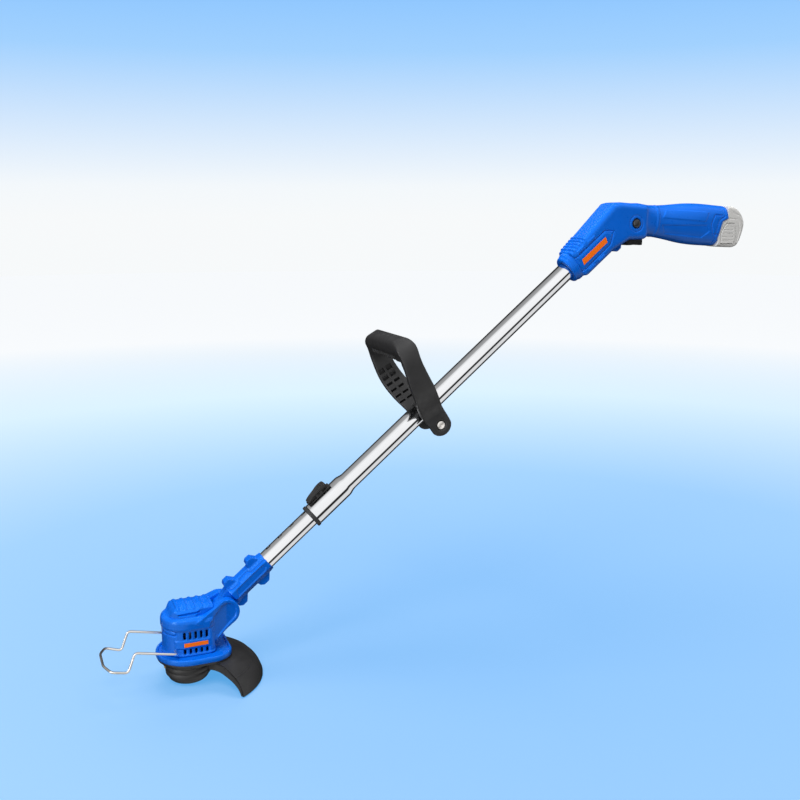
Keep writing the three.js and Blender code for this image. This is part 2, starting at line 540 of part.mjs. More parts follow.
// ---------------------------------------------------------------- assist handle
function addAssistHandle() {
  const { along, up } = LOOP_BOLT;
  const [low, high] = [along - CLAMP_HALF_LENGTH, along + CLAMP_HALF_LENGTH];
  const ring = turnedX(rod(16.4, low, high), 24);
  const block = box(low, high, -ARM_INNER + RUNNING_GAP * 2, ARM_INNER - RUNNING_GAP * 2, up - 13, -8);
  const tubeRoom = turnedX(rod(UPPER_TUBE.outer + GAP, low - 5, high + 5), 32);
  const boltRoom = turnedY(rod(3.4, -40, 40), 16).translate(along, 0, up);
  piece(shaft, "tube_clamp", cut(join(ring, block), tubeRoom, boltRoom), "black");

  const loop = new THREE.Group();      // its Z runs from the bolt to the grip
  loop.position.set(along, 0, up);
  loop.rotation.y = LOOP_LEAN;
  shaft.add(loop);
  const outer = [[ARM_INNER, -20], [ARM_OUTER, -20], [ARM_OUTER, 17], [31, 28], [45.5, 46], [57, 68], [60, 90],
    [61, 108], ...arc(43, 119, 18, 0, 75, 4), [20, 140.2]];
  const inner = [[ARM_INNER, 22], [23.5, 31], [38, 49], [49.5, 70], [52.5, 92], [53.5, 104],
    ...arc(43.5, 104.5, 10, 20, 90, 3)];
  const front = [...outer, ...mirroredY(outer), ...mirroredY(inner).reverse(), ...[...inner].reverse()];
  const side = [...arc(0, 0, 15, 190, 350, 10), [13, 28], [9, 56], [7.5, 85], [8, 108], [11, 118],
    ...arc(-2, 127.5, 13, 0, 180, 8), [-15.5, 118], [-20, 92], [-22.5, 72], [-22, 46], [-19, 27]];
  const recess = 3;
  const bolt = turnedY(rod(3.4, -40, 40), 16);
  const headRoom = turnedY(rod(6.6, -40, -ARM_OUTER + recess), 20);
  const nutRoom = turnedY(rod(6.6, ARM_OUTER - recess, 40), 20);
  const arms = overlap(alongX(front, -30, 30), alongY(side, -70, 70));
  piece(loop, "loop_handle", cut(arms, bolt, headRoom, nutRoom), "black");
  const boltProfile = [[0, -25.8], [4.8, -25.8], [5.8, -24.6], [5.8, -ARM_OUTER + recess - GAP],
    [3, -ARM_OUTER + recess - GAP], [3, 25.4], [0, 25.4]];
  piece(loop, "loop_bolt", turnedY(boltProfile, 20), "chrome");
  piece(loop, "loop_nut", turnedY(sleeve(3.8, 6, ARM_OUTER - recess + GAP, 25.6), 6), "steel");
}

// ---------------------------------------------------------------- rear handle
// A point beside the shaft, in the whole tool's own X and Z.
function besideShaft(along, up) {
  return [SHAFT_FOOT.x + along * Math.cos(SHAFT_ANGLE) - up * Math.sin(SHAFT_ANGLE),
    SHAFT_FOOT.z + along * Math.sin(SHAFT_ANGLE) + up * Math.cos(SHAFT_ANGLE)];
}

// Moves a shape made along X into the grip, whose axis drops a little towards the battery.
function inGrip(geometry) {
  return geometry.scale(1, GRIP.squeeze, 1).rotateY(GRIP.drop).translate(GRIP.x, 0, GRIP.z);
}

const SEAM = [[176, 60], [175, 38], [167, 22], [153, 0], [158, -25]];             // where the grip ends and the battery begins
const LATCH_PAD = [[165, 14], [168, 17], [181, 17], [184, 0], [180, -12], [158.5, -12], [157.5, 2]];

const handle = new THREE.Group();
handle.position.set(TRIGGER_PIVOT.x, 0, TRIGGER_PIVOT.z);
trimmer.add(handle);

// Moves a shape made along the shaft's X into the handle's frame.
function fromShaft(geometry) {
  const [x, z] = [SHAFT_FOOT.x - TRIGGER_PIVOT.x, SHAFT_FOOT.z - TRIGGER_PIVOT.z];
  return geometry.rotateY(-SHAFT_ANGLE).translate(x, 0, z);
}

function fromShaftPoint(along, up) {
  const [x, z] = besideShaft(along, up);
  return [x - TRIGGER_PIVOT.x, z - TRIGGER_PIVOT.z];
}

const HANDLE_SCREWS = [
  { at: fromShaftPoint(659, -17.6), head: 10 }, { at: fromShaftPoint(690, 17.6), head: 10 },
  { at: [60, 36], head: 10 }, { at: [84, 2], head: 10 },
];

function addHandle() {
  const elbow = [fromShaftPoint(700, 21), [-31, 44.6], [-15.5, 46.4], [32, 43], [32, -3.4], [0, -5.4],
    fromShaftPoint(712, -21.5), fromShaftPoint(700, -21.5)];
  const barrelProfile = [[0, 643], [19, 643], [21, 646], [BARREL.height, 655], [BARREL.height, 722], [0, 722]];
  const barrel = turnedX(barrelProfile, 28).scale(1, BARREL.squeeze, 1);
  const hook = [[-28, -19], [-14, -22], [-8, -17], [-8, -1], [-24, -1]];
  const gripProfile = [[0, -14], [18, -14], [22, 0], [22, 15], [25.3, 45], [29.2, 75], [29.8, 100], [29.4, 150],
    [0, 150]];
  const gripRoom = [[0, -12], [19, -12], [19.4, 15], [22.3, 45], [26, 75], [26.4, 160], [0, 160]];
  const elbowRoom = [[-44, 13], [-24, 37], [26, 35], [26, 3], [0, 3], [-25, -8]];
  const behind = [...SEAM, [260, -25], [260, 60]];

  let shell = join(alongY(elbow, -HANDLE_HALF_WIDTH, HANDLE_HALF_WIDTH, 6), fromShaft(barrel),
    alongY(hook, -8.5, 8.5), inGrip(turnedX(gripProfile, 28)));
  const seat = fromShaft(turnedX(rod(UPPER_TUBE.outer + GAP, 630, TUBE_SEAT), 28));
  const button = turnedY(rod(LOCK_OFF.radius + 0.6, -40, -8), 20).translate(LOCK_OFF.x, 0, LOCK_OFF.z);
  const placeScrew = ({ at, head }, geometry) => geometry.rotateX(Math.PI).translate(at[0], head, at[1]);
  shell = cut(shell, seat, alongY(elbowRoom, -13.5, 13.5), inGrip(turnedX(gripRoom, 24)), button,
    box(-4.4, 29, -8.6, 8.6, -33, 7), alongY(behind, -60, 60),
    ...HANDLE_SCREWS.map((place) => placeScrew(place, screwHole(place.head + 7))));
  const { left, right } = halves(shell);
  piece(handle, "handle_left", left, "blue");
  piece(handle, "handle_right", right, "blue");
  HANDLE_SCREWS.forEach((place, i) => piece(handle, `handle_screw_${i + 1}`,
    placeScrew(place, screw(place.head + 7)), "steel"));
}

function addControls() {
  const trigger = [[-2.8, -1], [1.8, -12.4], [3.4, -13], [25, -13], [27, -10.8], [27, 0.5], [20, 2.6], [0, 2.6], [-2.8, 0.6]];
  piece(handle, "trigger", alongY(trigger, -8, 8), "black");
  piece(handle, "trigger_switch", box(1, 44, -6.5, 6.5, 9.4, 25), "black");
  piece(handle, "trigger_spring", spring(3, 0.8, 4, 3.8).translate(6, 0, 4.4), "steel");
  const { x, z, radius } = LOCK_OFF;
  piece(handle, "lock_off_button", turnedY([[0, -22.2], [3.4, -21.8], [5.4, -20.6], [radius, -18.8], [radius, -13],
    [7.8, -13], [7.8, -11.4], [0, -11.4]], 20).translate(x, 0, z), "black");
}

function addBattery() {
  piece(handle, "terminal_block", inGrip(box(62, 68, -14, 14, -12, 12)), "black");
  const seamGap = 0.5;
  const outline = [[130, 42.5], [176, 41.5], [190, 37], [199, 29], [203, 18], [201, 6], [195, -8], [186, -18],
    [170, -19.4], [130, -19.4]];
  const behind = [...SEAM.map(([x, z]) => [x + seamGap, z]), [260, -25], [260, 60]];
  const base = overlap(alongY(outline, -BATTERY_HALF_WIDTH, BATTERY_HALF_WIDTH, 6), alongY(behind, -40, 40));
  const stick = inGrip(alongX(arc(0, 0, 21.5, 0, 330, 11), 70, 150));
  const block = join(base, stick);
  const padRoom = [[164.2, 14.6], [167.6, 17.8], [181.7, 17.8], [184.8, 0], [180.6, -12.8], [157.8, -12.8],
    [156.7, 2]];
  const [padInner, padOuter, travel] = [18.2, 21.6, 1.5];
  const room = [-1, 1].map((side) => (side < 0 ? alongY(padRoom, -40, -padInner + travel + GAP)
    : alongY(padRoom, padInner - travel - GAP, 40)));
  piece(handle, "battery_pack", cut(block, ...room), "battery");
  piece(handle, "battery_latch_left", alongY(LATCH_PAD, -padOuter, -padInner), "battery");
  piece(handle, "battery_latch_right", alongY(LATCH_PAD, padInner, padOuter), "battery");
}

addHousing();
addGuard();
addMotor();
addSpool();
addWireGuard();
addLowerShaft();
addUpperTube();
addLatch();
addAssistHandle();
addHandle();
addControls();
addBattery();

export default trimmer;
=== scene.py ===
"""String trimmer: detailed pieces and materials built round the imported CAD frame.

Shapes are written in millimetres and scaled once. X runs back along the tool and Z is up.
The camera is on the -Y side.
"""

import json
import math

import bmesh
import bpy
import numpy
from mathutils import Matrix, Vector
from mathutils.bvhtree import BVHTree

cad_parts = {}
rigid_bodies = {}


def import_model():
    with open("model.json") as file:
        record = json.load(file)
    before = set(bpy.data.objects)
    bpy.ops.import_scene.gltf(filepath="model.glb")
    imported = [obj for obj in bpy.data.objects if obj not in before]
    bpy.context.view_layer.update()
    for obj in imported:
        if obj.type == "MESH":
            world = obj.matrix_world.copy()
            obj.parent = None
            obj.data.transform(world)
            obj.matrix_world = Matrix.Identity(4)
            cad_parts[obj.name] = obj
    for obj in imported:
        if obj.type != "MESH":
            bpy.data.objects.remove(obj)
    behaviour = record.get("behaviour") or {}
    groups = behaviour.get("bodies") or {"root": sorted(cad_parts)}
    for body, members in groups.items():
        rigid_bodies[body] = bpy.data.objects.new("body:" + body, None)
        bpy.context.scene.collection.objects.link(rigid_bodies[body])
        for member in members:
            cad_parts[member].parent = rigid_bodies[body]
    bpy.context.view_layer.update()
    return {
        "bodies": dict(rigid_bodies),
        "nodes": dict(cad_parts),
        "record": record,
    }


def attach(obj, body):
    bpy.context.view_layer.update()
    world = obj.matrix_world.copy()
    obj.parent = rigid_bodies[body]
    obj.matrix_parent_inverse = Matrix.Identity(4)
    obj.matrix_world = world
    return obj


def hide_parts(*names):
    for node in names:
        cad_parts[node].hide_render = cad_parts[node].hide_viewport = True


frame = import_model()
NODES = frame["nodes"]
MM = 0.001

# ---------------------------------------------------------------- driving dimensions, as in the CAD part
UPRIGHT = Matrix.Identity(4)
# X runs up the tubes, from just above the head's hinge
SHAFT_TILT = math.radians(39.4)
SHAFT = Matrix.Translation((46.5, 0, 94.6)) @ Matrix.Rotation(-SHAFT_TILT, 4, "Y")
# the assist handle's bolt, with Z towards its grip
LOOP = SHAFT @ Matrix.Translation((361, 0, -24)) @ Matrix.Rotation(math.radians(10), 4, "Y")
# the rear handle's elbow, and the grip behind it with X along the grip
HANDLE = Matrix.Translation((637, 0, 550))
GRIP = HANDLE @ Matrix.Translation((32, 0, 21.6)) @ Matrix.Rotation(math.radians(3.6), 4, "Y")
# the head's hinge, in X and Z and as a point
PIVOT = (47, 88.3)
PIVOT_CENTRE = Vector((PIVOT[0], 0, PIVOT[1]))
# width of the grip and of the barrel, for a height of one
GRIP_SQUEEZE = 0.76
BARREL_SQUEEZE = 0.84


# ---------------------------------------------------------------- mesh helpers
def arc(cx, cy, radius, start, end, steps):
    """Points on an arc, angles in degrees."""
    turns = (math.radians(start + (end - start) * i / steps) for i in range(steps + 1))
    return [(cx + radius * math.cos(t), cy + radius * math.sin(t)) for t in turns]


def curve_through(points, steps=6, closed=False):
    """A Catmull-Rom curve through the points."""
    count = len(points)
    spans = count if closed else count - 1
    found = []
    for i in range(spans):
        ends = [i - 1, i, i + 1, i + 2]
        ends = [k % count if closed else min(max(k, 0), count - 1) for k in ends]
        a, b, c, d = (Vector(points[k]) for k in ends)
        for s in range(steps):
            t = s / steps
            found.append(tuple(0.5 * (2 * b + (c - a) * t + (2 * a - 5 * b + 4 * c - d) * t**2
                                      + (3 * b - a - 3 * c + d) * t**3)))
    if not closed:
        found.append(tuple(points[-1]))
    return found


def solid(name, points, faces, place=UPRIGHT):
    """A mesh object from points in millimetres, faces outward."""
    mesh = bpy.data.meshes.new(name)
    mesh.from_pydata([place @ Vector(p) * MM for p in points], [], faces)
    shape = bmesh.new()
    shape.from_mesh(mesh)
    bmesh.ops.remove_doubles(shape, verts=shape.verts, dist=1e-6)
    bmesh.ops.recalc_face_normals(shape, faces=shape.faces)
    shape.to_mesh(mesh)
    shape.free()
    found = bpy.data.objects.new(name, mesh)
    bpy.context.scene.collection.objects.link(found)
    return found


def loft(rings, place=UPRIGHT, name="loft"):
    """A closed skin over rings of equal length, with flat ends."""
    size = len(rings[0])
    points = [p for ring in rings for p in ring]
    faces = [list(range(size))[::-1], [len(points) - size + i for i in range(size)]]
    for r in range(len(rings) - 1):
        for i in range(size):
            j = (i + 1) % size
            faces.append([r * size + i, r * size + j, (r + 1) * size + j, (r + 1) * size + i])
    return solid(name, points, faces, place)


AXES = {
    "X": lambda u, v, h: (h, u, v),
    "Y": lambda u, v, h: (u, h, v),
    "Z": lambda u, v, h: (u, v, h),
}


def prism(outline, low, high, axis="Y", place=UPRIGHT, name="prism"):
    """The outline drawn out along an axis, from low to high."""
    lay = AXES[axis]
    rings = [[lay(u, v, h) for u, v in outline] for h in (low, high)]
    return loft(rings, place, name)


def rectangle(u0, u1, v0, v1):
    return [(u0, v0), (u1, v0), (u1, v1), (u0, v1)]


def box(x0, x1, y0, y1, z0, z1, place=UPRIGHT):
    """A block between limits on each axis, for slots and bars."""
    return prism(rectangle(x0, x1, z0, z1), y0, y1, "Y", place, "box")


def lathe(profile, axis="Z", place=UPRIGHT, segments=96, squeeze=1.0, name="lathe"):
    """Turns (radius, height) points about an axis, with an optional squeeze across it.

    A profile with both ends on the axis is closed there, and any other profile closes on itself.
    """
    lay = AXES[axis]
    points, faces = [], []
    for radius, height in profile:
        for s in range(segments):
            t = 2 * math.pi * s / segments
            points.append(lay(radius * math.cos(t) * squeeze, radius * math.sin(t), height))
    rows = len(profile)
    on_axis = profile[0][0] == 0 and profile[-1][0] == 0
    for r in range(rows - 1 if on_axis else rows):
        n = (r + 1) % rows
        for s in range(segments):
            q = (s + 1) % segments
            faces.append([r * segments + s, r * segments + q, n * segments + q, n * segments + s])
    found = solid(name, points, faces, place)
    shape = bmesh.new()
    shape.from_mesh(found.data)
    bmesh.ops.dissolve_degenerate(shape, dist=1e-7, edges=shape.edges)
    bmesh.ops.recalc_face_normals(shape, faces=shape.faces)
    shape.to_mesh(found.data)
    shape.free()
    return found


def sleeve(inner, outer, low, high, ease=0.4):
    """The lathe profile of a ring with eased edges."""
    return [(inner, low + ease), (inner + ease, low), (outer - ease, low), (outer, low + ease),
            (outer, high - ease), (outer - ease, high), (inner + ease, high), (inner, high - ease)]


def rod(radius, low, high, ease=0.3):
    """The lathe profile of a bar with eased edges."""
    return [(0, low), (radius - ease, low), (radius, low + ease),
            (radius, high - ease), (radius - ease, high), (0, high)]


def tube(points, radius, sides=14, name="tube"):
    """A round bar along points in millimetres, with closed ends."""
    path = [Vector(p) for p in points]
    tangent = (path[1] - path[0]).normalized()
    across = tangent.orthogonal().normalized()
    rings = []
    for i, p in enumerate(path):
        ahead = path[min(i + 1, len(path) - 1)]
        behind = path[max(i - 1, 0)]
        tangent = (ahead - behind).normalized()
        across = (across - tangent * across.dot(tangent)).normalized()
        side = tangent.cross(across)
        rings.append([tuple(p + radius * (across * math.cos(t) + side * math.sin(t)))
                      for t in (2 * math.pi * s / sides for s in range(sides))])
    return loft(rings, name=name)


def settle(piece):
    """Turns the piece's modifiers into its mesh."""
    bpy.context.view_layer.update()
    evaluated = piece.evaluated_get(bpy.context.evaluated_depsgraph_get())
    settled = bpy.data.meshes.new_from_object(evaluated)
    piece.modifiers.clear()
    old = piece.data
    piece.data = settled
    bpy.data.meshes.remove(old)
    return piece


def combine(kind, target, *others):
    """Works the others into the target one by one, and removes them."""
    for other in others:
        step = target.modifiers.new(kind, "BOOLEAN")
        step.operation = kind
        step.solver = "EXACT"
        step.object = other
        settle(target)
        bpy.data.objects.remove(other)
    return target


def join(target, *others):
    return combine("UNION", target, *others)


def cut(target, *others):
    return combine("DIFFERENCE", target, *others)


def overlap(target, *others):
    return combine("INTERSECT", target, *others)


def mould(piece, voxel, rounds=4):
    """Rebuilds the skin as even quads and rounds its edges, like a moulded part."""
    skin = piece.modifiers.new("skin", "REMESH")
    skin.mode = "VOXEL"
    skin.voxel_size = voxel * MM
    soften = piece.modifiers.new("soften", "SMOOTH")
    soften.factor = 0.5
    soften.iterations = rounds
    return settle(piece)


# ---------------------------------------------------------------- relief pressed into a moulded skin
TOP = Matrix.Rotation(math.radians(-90), 4, "X")
FRONT = Matrix.Rotation(math.radians(-90), 4, "Z")


def line_distance(points, path):
    """How far each flat point is from the path."""
    best = numpy.full(len(points), 1e9)
    for a, b in zip(path, path[1:]):
        a, b = numpy.array(a, float), numpy.array(b, float)
        along = numpy.clip(((points - a) @ (b - a)) / max((b - a) @ (b - a), 1e-9), 0, 1)
        best = numpy.minimum(best, numpy.linalg.norm(points - a - along[:, None] * (b - a), axis=1))
    return best


def inside(points, outline):
    """Which flat points are inside the outline."""
    found = numpy.zeros(len(points), bool)
    for (x0, y0), (x1, y1) in zip(outline, outline[1:] + outline[:1]):
        crosses = (y0 > points[:, 1]) != (y1 > points[:, 1])
        if y0 != y1:
            found ^= crosses & (points[:, 0] < (x1 - x0) * (points[:, 1] - y0) / (y1 - y0) + x0)
    return found


def press(piece, place, side, lift_of, facing=0.35):
    """Moves the skin along its normals, where it faces the side of the place's Y axis."""
    mesh = piece.data
    count = len(mesh.vertices)
    points, normals = numpy.empty(count * 3), numpy.empty(count * 3)
    mesh.vertices.foreach_get("co", points)
    mesh.vertices.foreach_get("normal", normals)
    points, normals = points.reshape(-1, 3), normals.reshape(-1, 3)
    turn = numpy.array(place.to_3x3().normalized())
    local = (points / MM - numpy.array(place.translation)) @ turn
    toward = (normals @ turn)[:, 1] * side
    lift = lift_of(local[:, [0, 2]]) * numpy.clip((toward - facing) / 0.15, 0, 1) * (local[:, 1] * side > 0)
    mesh.vertices.foreach_set("co", (points + normals * lift[:, None] * MM).ravel())
    mesh.update()


def raise_panel(piece, place, side, outline, height, edge=1.2, facing=0.35):
    """Lifts the skin inside the outline, or sinks it when the height is negative."""
    def lift(flat):
        away = line_distance(flat, outline + [outline[0]])
        signed = numpy.where(inside(flat, outline), away, -away)
        t = numpy.clip(signed / edge + 0.5, 0, 1)
        return height * t * t * (3 - 2 * t)

    press(piece, place, side, lift, facing)


def groove(piece, place, side, path, depth, width, closed=False, facing=0.35):
    """Sinks a line into the skin along the path."""
    line = path + [path[0]] if closed else path

    def lift(flat):
        t = numpy.clip(1 - line_distance(flat, line) / width, 0, 1)
        return -depth * t * t * (3 - 2 * t)

    press(piece, place, side, lift, facing)


def ease_edges(piece, width, segments=3, angle=28):
    """Rounds the edges that are sharper than the angle."""
    bevel = piece.modifiers.new("ease", "BEVEL")
    bevel.width = width * MM
    bevel.segments = segments
    bevel.limit_method = "ANGLE"
    bevel.angle_limit = math.radians(angle)
    bevel.use_clamp_overlap = True
    bevel.harden_normals = True
    return piece


def shade(piece, angle=40):
    """Smooth shading that keeps edges sharper than the angle."""
    mesh = piece.data
    mesh.polygons.foreach_set("use_smooth", [True] * len(mesh.polygons))
    shape = bmesh.new()
    shape.from_mesh(mesh)
    for edge in shape.edges:
        edge.smooth = len(edge.link_faces) == 2 and edge.calc_face_angle(0) < math.radians(angle)
    shape.to_mesh(mesh)
    shape.free()
    mesh.update()
    return piece


def finish_piece(piece, name, look, body, replaces=(), angle=40):
    """Names, colours and shades a piece, and ties it to its body and to the CAD nodes that it replaces."""
    piece.name = name
    piece.data.name = name
    piece.data.materials.clear()
    piece.data.materials.append(look)
    shade(piece, angle)
    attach(piece, body)
    if replaces:
        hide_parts(*replaces)
    return piece


def span(side, near, far):
    """Low and high limits between two distances out to one side."""
    return sorted((side * near, side * far))


# ---------------------------------------------------------------- materials
# depth of the grain's bump, in metres
GRAIN_DEPTH = 0.0001


def material(name, colour, roughness, metallic=0.0, vary=0.08, grain=1400, bump=0.05, stretch=(1, 1, 1),
             rough_vary=0.08, specular=0.5, dust=0.0, tint=(1, 1, 1)):
    """A moulded or metal surface: cloudy colour and gloss over a fine grain, with dust as paler patches."""
    found = bpy.data.materials.new(name)
    found.use_nodes = True
    tree = found.node_tree
    shader = tree.nodes["Principled BSDF"]
    shader.inputs["Metallic"].default_value = metallic
    shader.inputs["Specular IOR Level"].default_value = specular
    shader.inputs["Specular Tint"].default_value = (*tint, 1)
    place = tree.nodes.new("ShaderNodeTexCoord")
    scale = tree.nodes.new("ShaderNodeMapping")
    scale.inputs["Scale"].default_value = stretch
    tree.links.new(place.outputs["Object"], scale.inputs["Vector"])

    def cloud(size, detail):
        node = tree.nodes.new("ShaderNodeTexNoise")
        node.inputs["Scale"].default_value = size
        node.inputs["Detail"].default_value = detail
        tree.links.new(scale.outputs["Vector"], node.inputs["Vector"])
        return node

    patches = cloud(38, 5)
    ramp = tree.nodes.new("ShaderNodeValToRGB")
    ramp.color_ramp.elements[0].position = 0.3
    ramp.color_ramp.elements[1].position = 0.72
    ramp.color_ramp.elements[0].color = (*[c * (1 - vary) for c in colour], 1)
    ramp.color_ramp.elements[1].color = (*[min(1, c * (1 + vary) + dust) for c in colour], 1)
    tree.links.new(patches.outputs["Fac"], ramp.inputs["Fac"])
    tree.links.new(ramp.outputs["Color"], shader.inputs["Base Color"])
    wear = cloud(150, 6)
    gloss = tree.nodes.new("ShaderNodeMapRange")
    gloss.inputs["From Min"].default_value = 0.3
    gloss.inputs["From Max"].default_value = 0.7
    gloss.inputs["To Min"].default_value = max(0.02, roughness - rough_vary)
    gloss.inputs["To Max"].default_value = min(1.0, roughness + rough_vary)
    tree.links.new(wear.outputs["Fac"], gloss.inputs["Value"])
    tree.links.new(gloss.outputs["Result"], shader.inputs["Roughness"])
    grains = cloud(grain, 3)
    relief = tree.nodes.new("ShaderNodeBump")
    relief.inputs["Strength"].default_value = bump
    relief.inputs["Distance"].default_value = GRAIN_DEPTH
    tree.links.new(grains.outputs["Fac"], relief.inputs["Height"])
    tree.links.new(relief.outputs["Normal"], shader.inputs["Normal"])
    return found


ROYAL_BLUE = (0.001, 0.125, 0.66)
SHEEN = (0.25, 0.55, 1.0)
BLUE = material("royal_blue_plastic", ROYAL_BLUE, 0.27, vary=0.05, grain=1700, bump=0.15, specular=0.8,
                tint=SHEEN)
BLUE_GRIP = material("grained_blue_plastic", ROYAL_BLUE, 0.34, vary=0.05, grain=900, bump=0.3, specular=0.7,
                     tint=SHEEN)
BLACK = material("charcoal_plastic", (0.022, 0.022, 0.023), 0.46, vary=0.2, grain=1300, bump=0.4, dust=0.004)
BLACK_GLOSS = material("smooth_black_plastic", (0.018, 0.018, 0.019), 0.3, vary=0.15, grain=1800, bump=0.15)
CHROME = material("polished_steel_tube", (0.86, 0.87, 0.89), 0.07, metallic=1, vary=0.03, grain=500,
                  bump=0.015, stretch=(0.12, 1, 1), rough_vary=0.03)
BRIGHT = material("plated_wire", (0.93, 0.90, 0.86), 0.36, metallic=1, vary=0.05, grain=1500, bump=0.08)
STEEL = material("zinc_plated_steel", (0.62, 0.63, 0.64), 0.3, metallic=1, vary=0.1, grain=2200, bump=0.15)
COPPER = material("enamelled_copper", (0.62, 0.24, 0.08), 0.28, metallic=1, vary=0.15, grain=700, bump=0.6)
BRASS = material("turned_brass", (0.72, 0.5, 0.18), 0.22, metallic=1, vary=0.1, grain=1500, bump=0.15)
MAGNET = material("sintered_ferrite", (0.045, 0.045, 0.05), 0.62, vary=0.25, grain=2600, bump=0.5)
BATTERY = material("warm_grey_plastic", (0.66, 0.655, 0.64), 0.42, vary=0.03, grain=1500, bump=0.35)
LINE = material("amber_nylon_line", (0.75, 0.3, 0.02), 0.3, vary=0.1, grain=900, bump=0.2)
RUBBER = material("black_cable_sheath", (0.014, 0.014, 0.015), 0.55, vary=0.2, grain=1100, bump=0.3)
ORANGE = material("orange_print", (1.0, 0.17, 0.002), 0.35, vary=0.05, grain=1500, bump=0.1)

LOOKS = {
    "blue_plastic": BLUE, "black_plastic": BLACK, "polished_tube": CHROME, "bright_wire": BRIGHT,
    "plain_steel": STEEL, "copper_winding": COPPER, "brass": BRASS, "magnet": MAGNET,
    "battery_plastic": BATTERY, "line": LINE, "lead_cover": RUBBER,
}
SPRINGS = ("bump_spring", "trigger_spring", "latch_spring")
BLACKENED = ("latch_pin", "guard_screw_1", "guard_screw_2")
for entry in frame["record"]["subparts"]:
    node = NODES[entry["node"]]
    look = BLACK_GLOSS if entry["node"] in BLACKENED else LOOKS[entry["material_slot"]]
    node.data.materials.clear()
    node.data.materials.append(look)
    if entry["node"] not in SPRINGS:
        ease_edges(node, 0.25, 2, 35)
    shade(node, 35)


# ---------------------------------------------------------------- motor head
HOUSING = {"radius": 29.5, "centre": -1.5, "rear": 31, "corner": 8}
FLANGE = {"radius": 42.5, "centre": 3, "rear": 51.5, "corner": 25}


def round_front(centre, radius, rear, side, corner, front_steps, corner_steps):
    """A plan with a half round front and two rounded rear corners."""
    return (arc(centre, 0, radius, 90, 270, front_steps) + arc(rear, -side, corner, 270, 360, corner_steps)
            + arc(rear, side, corner, 0, 90, corner_steps))


def housing_plan(offset):
    """The motor housing's plan, grown by the offset."""
    radius = HOUSING["radius"] + offset
    corner = max(HOUSING["corner"] + offset, 1)
    rear = HOUSING["rear"] - HOUSING["corner"]
    return round_front(HOUSING["centre"], radius, rear, radius - corner, corner, 48, 8)


def flange_plan(offset):
    """The base flange's plan, grown by the offset."""
    side = FLANGE["radius"] - FLANGE["corner"]
    rear = FLANGE["rear"] - FLANGE["corner"]
    corner = FLANGE["corner"] + offset
    return round_front(FLANGE["centre"], FLANGE["radius"] + offset, rear, side, corner, 72, 20)


def plan_loft(layers, plan):
    """A skin through (height, offset) layers of a plan."""
    return loft([[(x, y, z) for x, y in plan(offset)] for z, offset in layers])


def ear(side):
    """A hinge ear, splayed towards the housing."""
    outline = [(6, 83.5), (6, 85.5), (8, 86.8)] + arc(*PIVOT, 17, 115, -54, 36)
    outline += [(31, 56.5), (29, 62), (26.5, 78)]
    plan = [(0, 8.7), (70, 8.7), (70, 20), (52, 20.3), (47, 21), (28, 27.8), (14, 31.1), (0, 31.4)]
    return overlap(prism(outline, -40, 40), prism([(x, side * y) for x, y in plan], 30, 130, "Z"))


def build_housing():
    """The motor housing with its hinge ears, vents and relief, and the hinge pin."""
    wall = plan_loft([(43.4, 1.2), (45.2, 1.2), (46.4, 0), (75.5, 0), (76.6, 0.7), (78.5, 1.2), (85.5, 1.2),
                      (88.5, 0.4), (90.6, -1.6), (91.8, -3.6)], housing_plan)
    hollow = plan_loft([(40, -2.5), (84, -2.5)], housing_plan)
    shell = join(cut(wall, hollow), ear(-1), ear(1))
    slots = [box(x, x + 3, -40, 40, low, high) for low, high in ((45.8, 52.4), (64.8, 74.6))
             for x in (-9.4 + 6.8 * i for i in range(5))]
    cap_room = box(-40, 31, -20.6, 20.6, 91.5, 140)
    shell = cut(shell, *slots, lathe(rod(19, 30, 89)), cap_room)
    mould(shell, 0.68, 4)
    belt = rectangle(-19, 22.6, 53.5, 63.5)
    pillar = rectangle(22.8, 29.4, 44.5, 75.5)
    tab = [(-34, 77), (-21, 75.6), (-17.6, 74.6), (-17.6, 70.8), (-21, 69.8), (-34, 71)]
    sunk = [(24, 76), (24, 82.6)] + arc(*PIVOT, 12.6, 118, -54, 24) + [(34, 61), (31.5, 64)]
    for side in (-1, 1):
        raise_panel(shell, UPRIGHT, side, belt, 1.0, 1.4)
        raise_panel(shell, UPRIGHT, side, pillar, 0.8, 1.4, 0.2)
        groove(shell, UPRIGHT, side, tab, 1.1, 1.5, facing=0.1)
        raise_panel(shell, UPRIGHT, side, sunk, -1.5, 1.6)
    finish_piece(shell, "motor_housing_shell", BLUE, "head", ["motor_housing"])
    pin = lathe(rod(3.1, -9.5, 9.5, 0.5), "Y", Matrix.Translation(PIVOT_CENTRE), 48)
    finish_piece(pin, "hinge_pin", STEEL, "head", ["tilt_pin"])


def cap_shape():
    """The cap over the motor, as the overlap of its side, front and plan outlines."""
    side = curve_through([(-26, 90.5), (-22.6, 93.6), (-19.2, 98.4), (-14.8, 101.8), (-8, 104), (0, 104.6),
                          (8, 104.2), (18, 103), (30.6, 102.6)], 6)
    side += [(30.6, 87.5), (-26, 87.5)]
    front = [(25.8, 87.5), (25.2, 91)]
    front += [(24.5 * c, 92 + 12.6 * d) for c, d in arc(0, 0, 1, 0, 180, 40)]
    front += [(-25.2, 91), (-25.8, 87.5)]
    neck = 20
    plan = arc(-1.5, 0, 25.6, 90, 270, 48)
    plan += [(6, -25.6), (14, -neck), (30.6, -neck), (30.6, neck), (14, neck), (6, 25.6)]
    return overlap(prism(side, -40, 40), prism(front, -60, 60, "X"), prism(plan, 60, 140, "Z"))


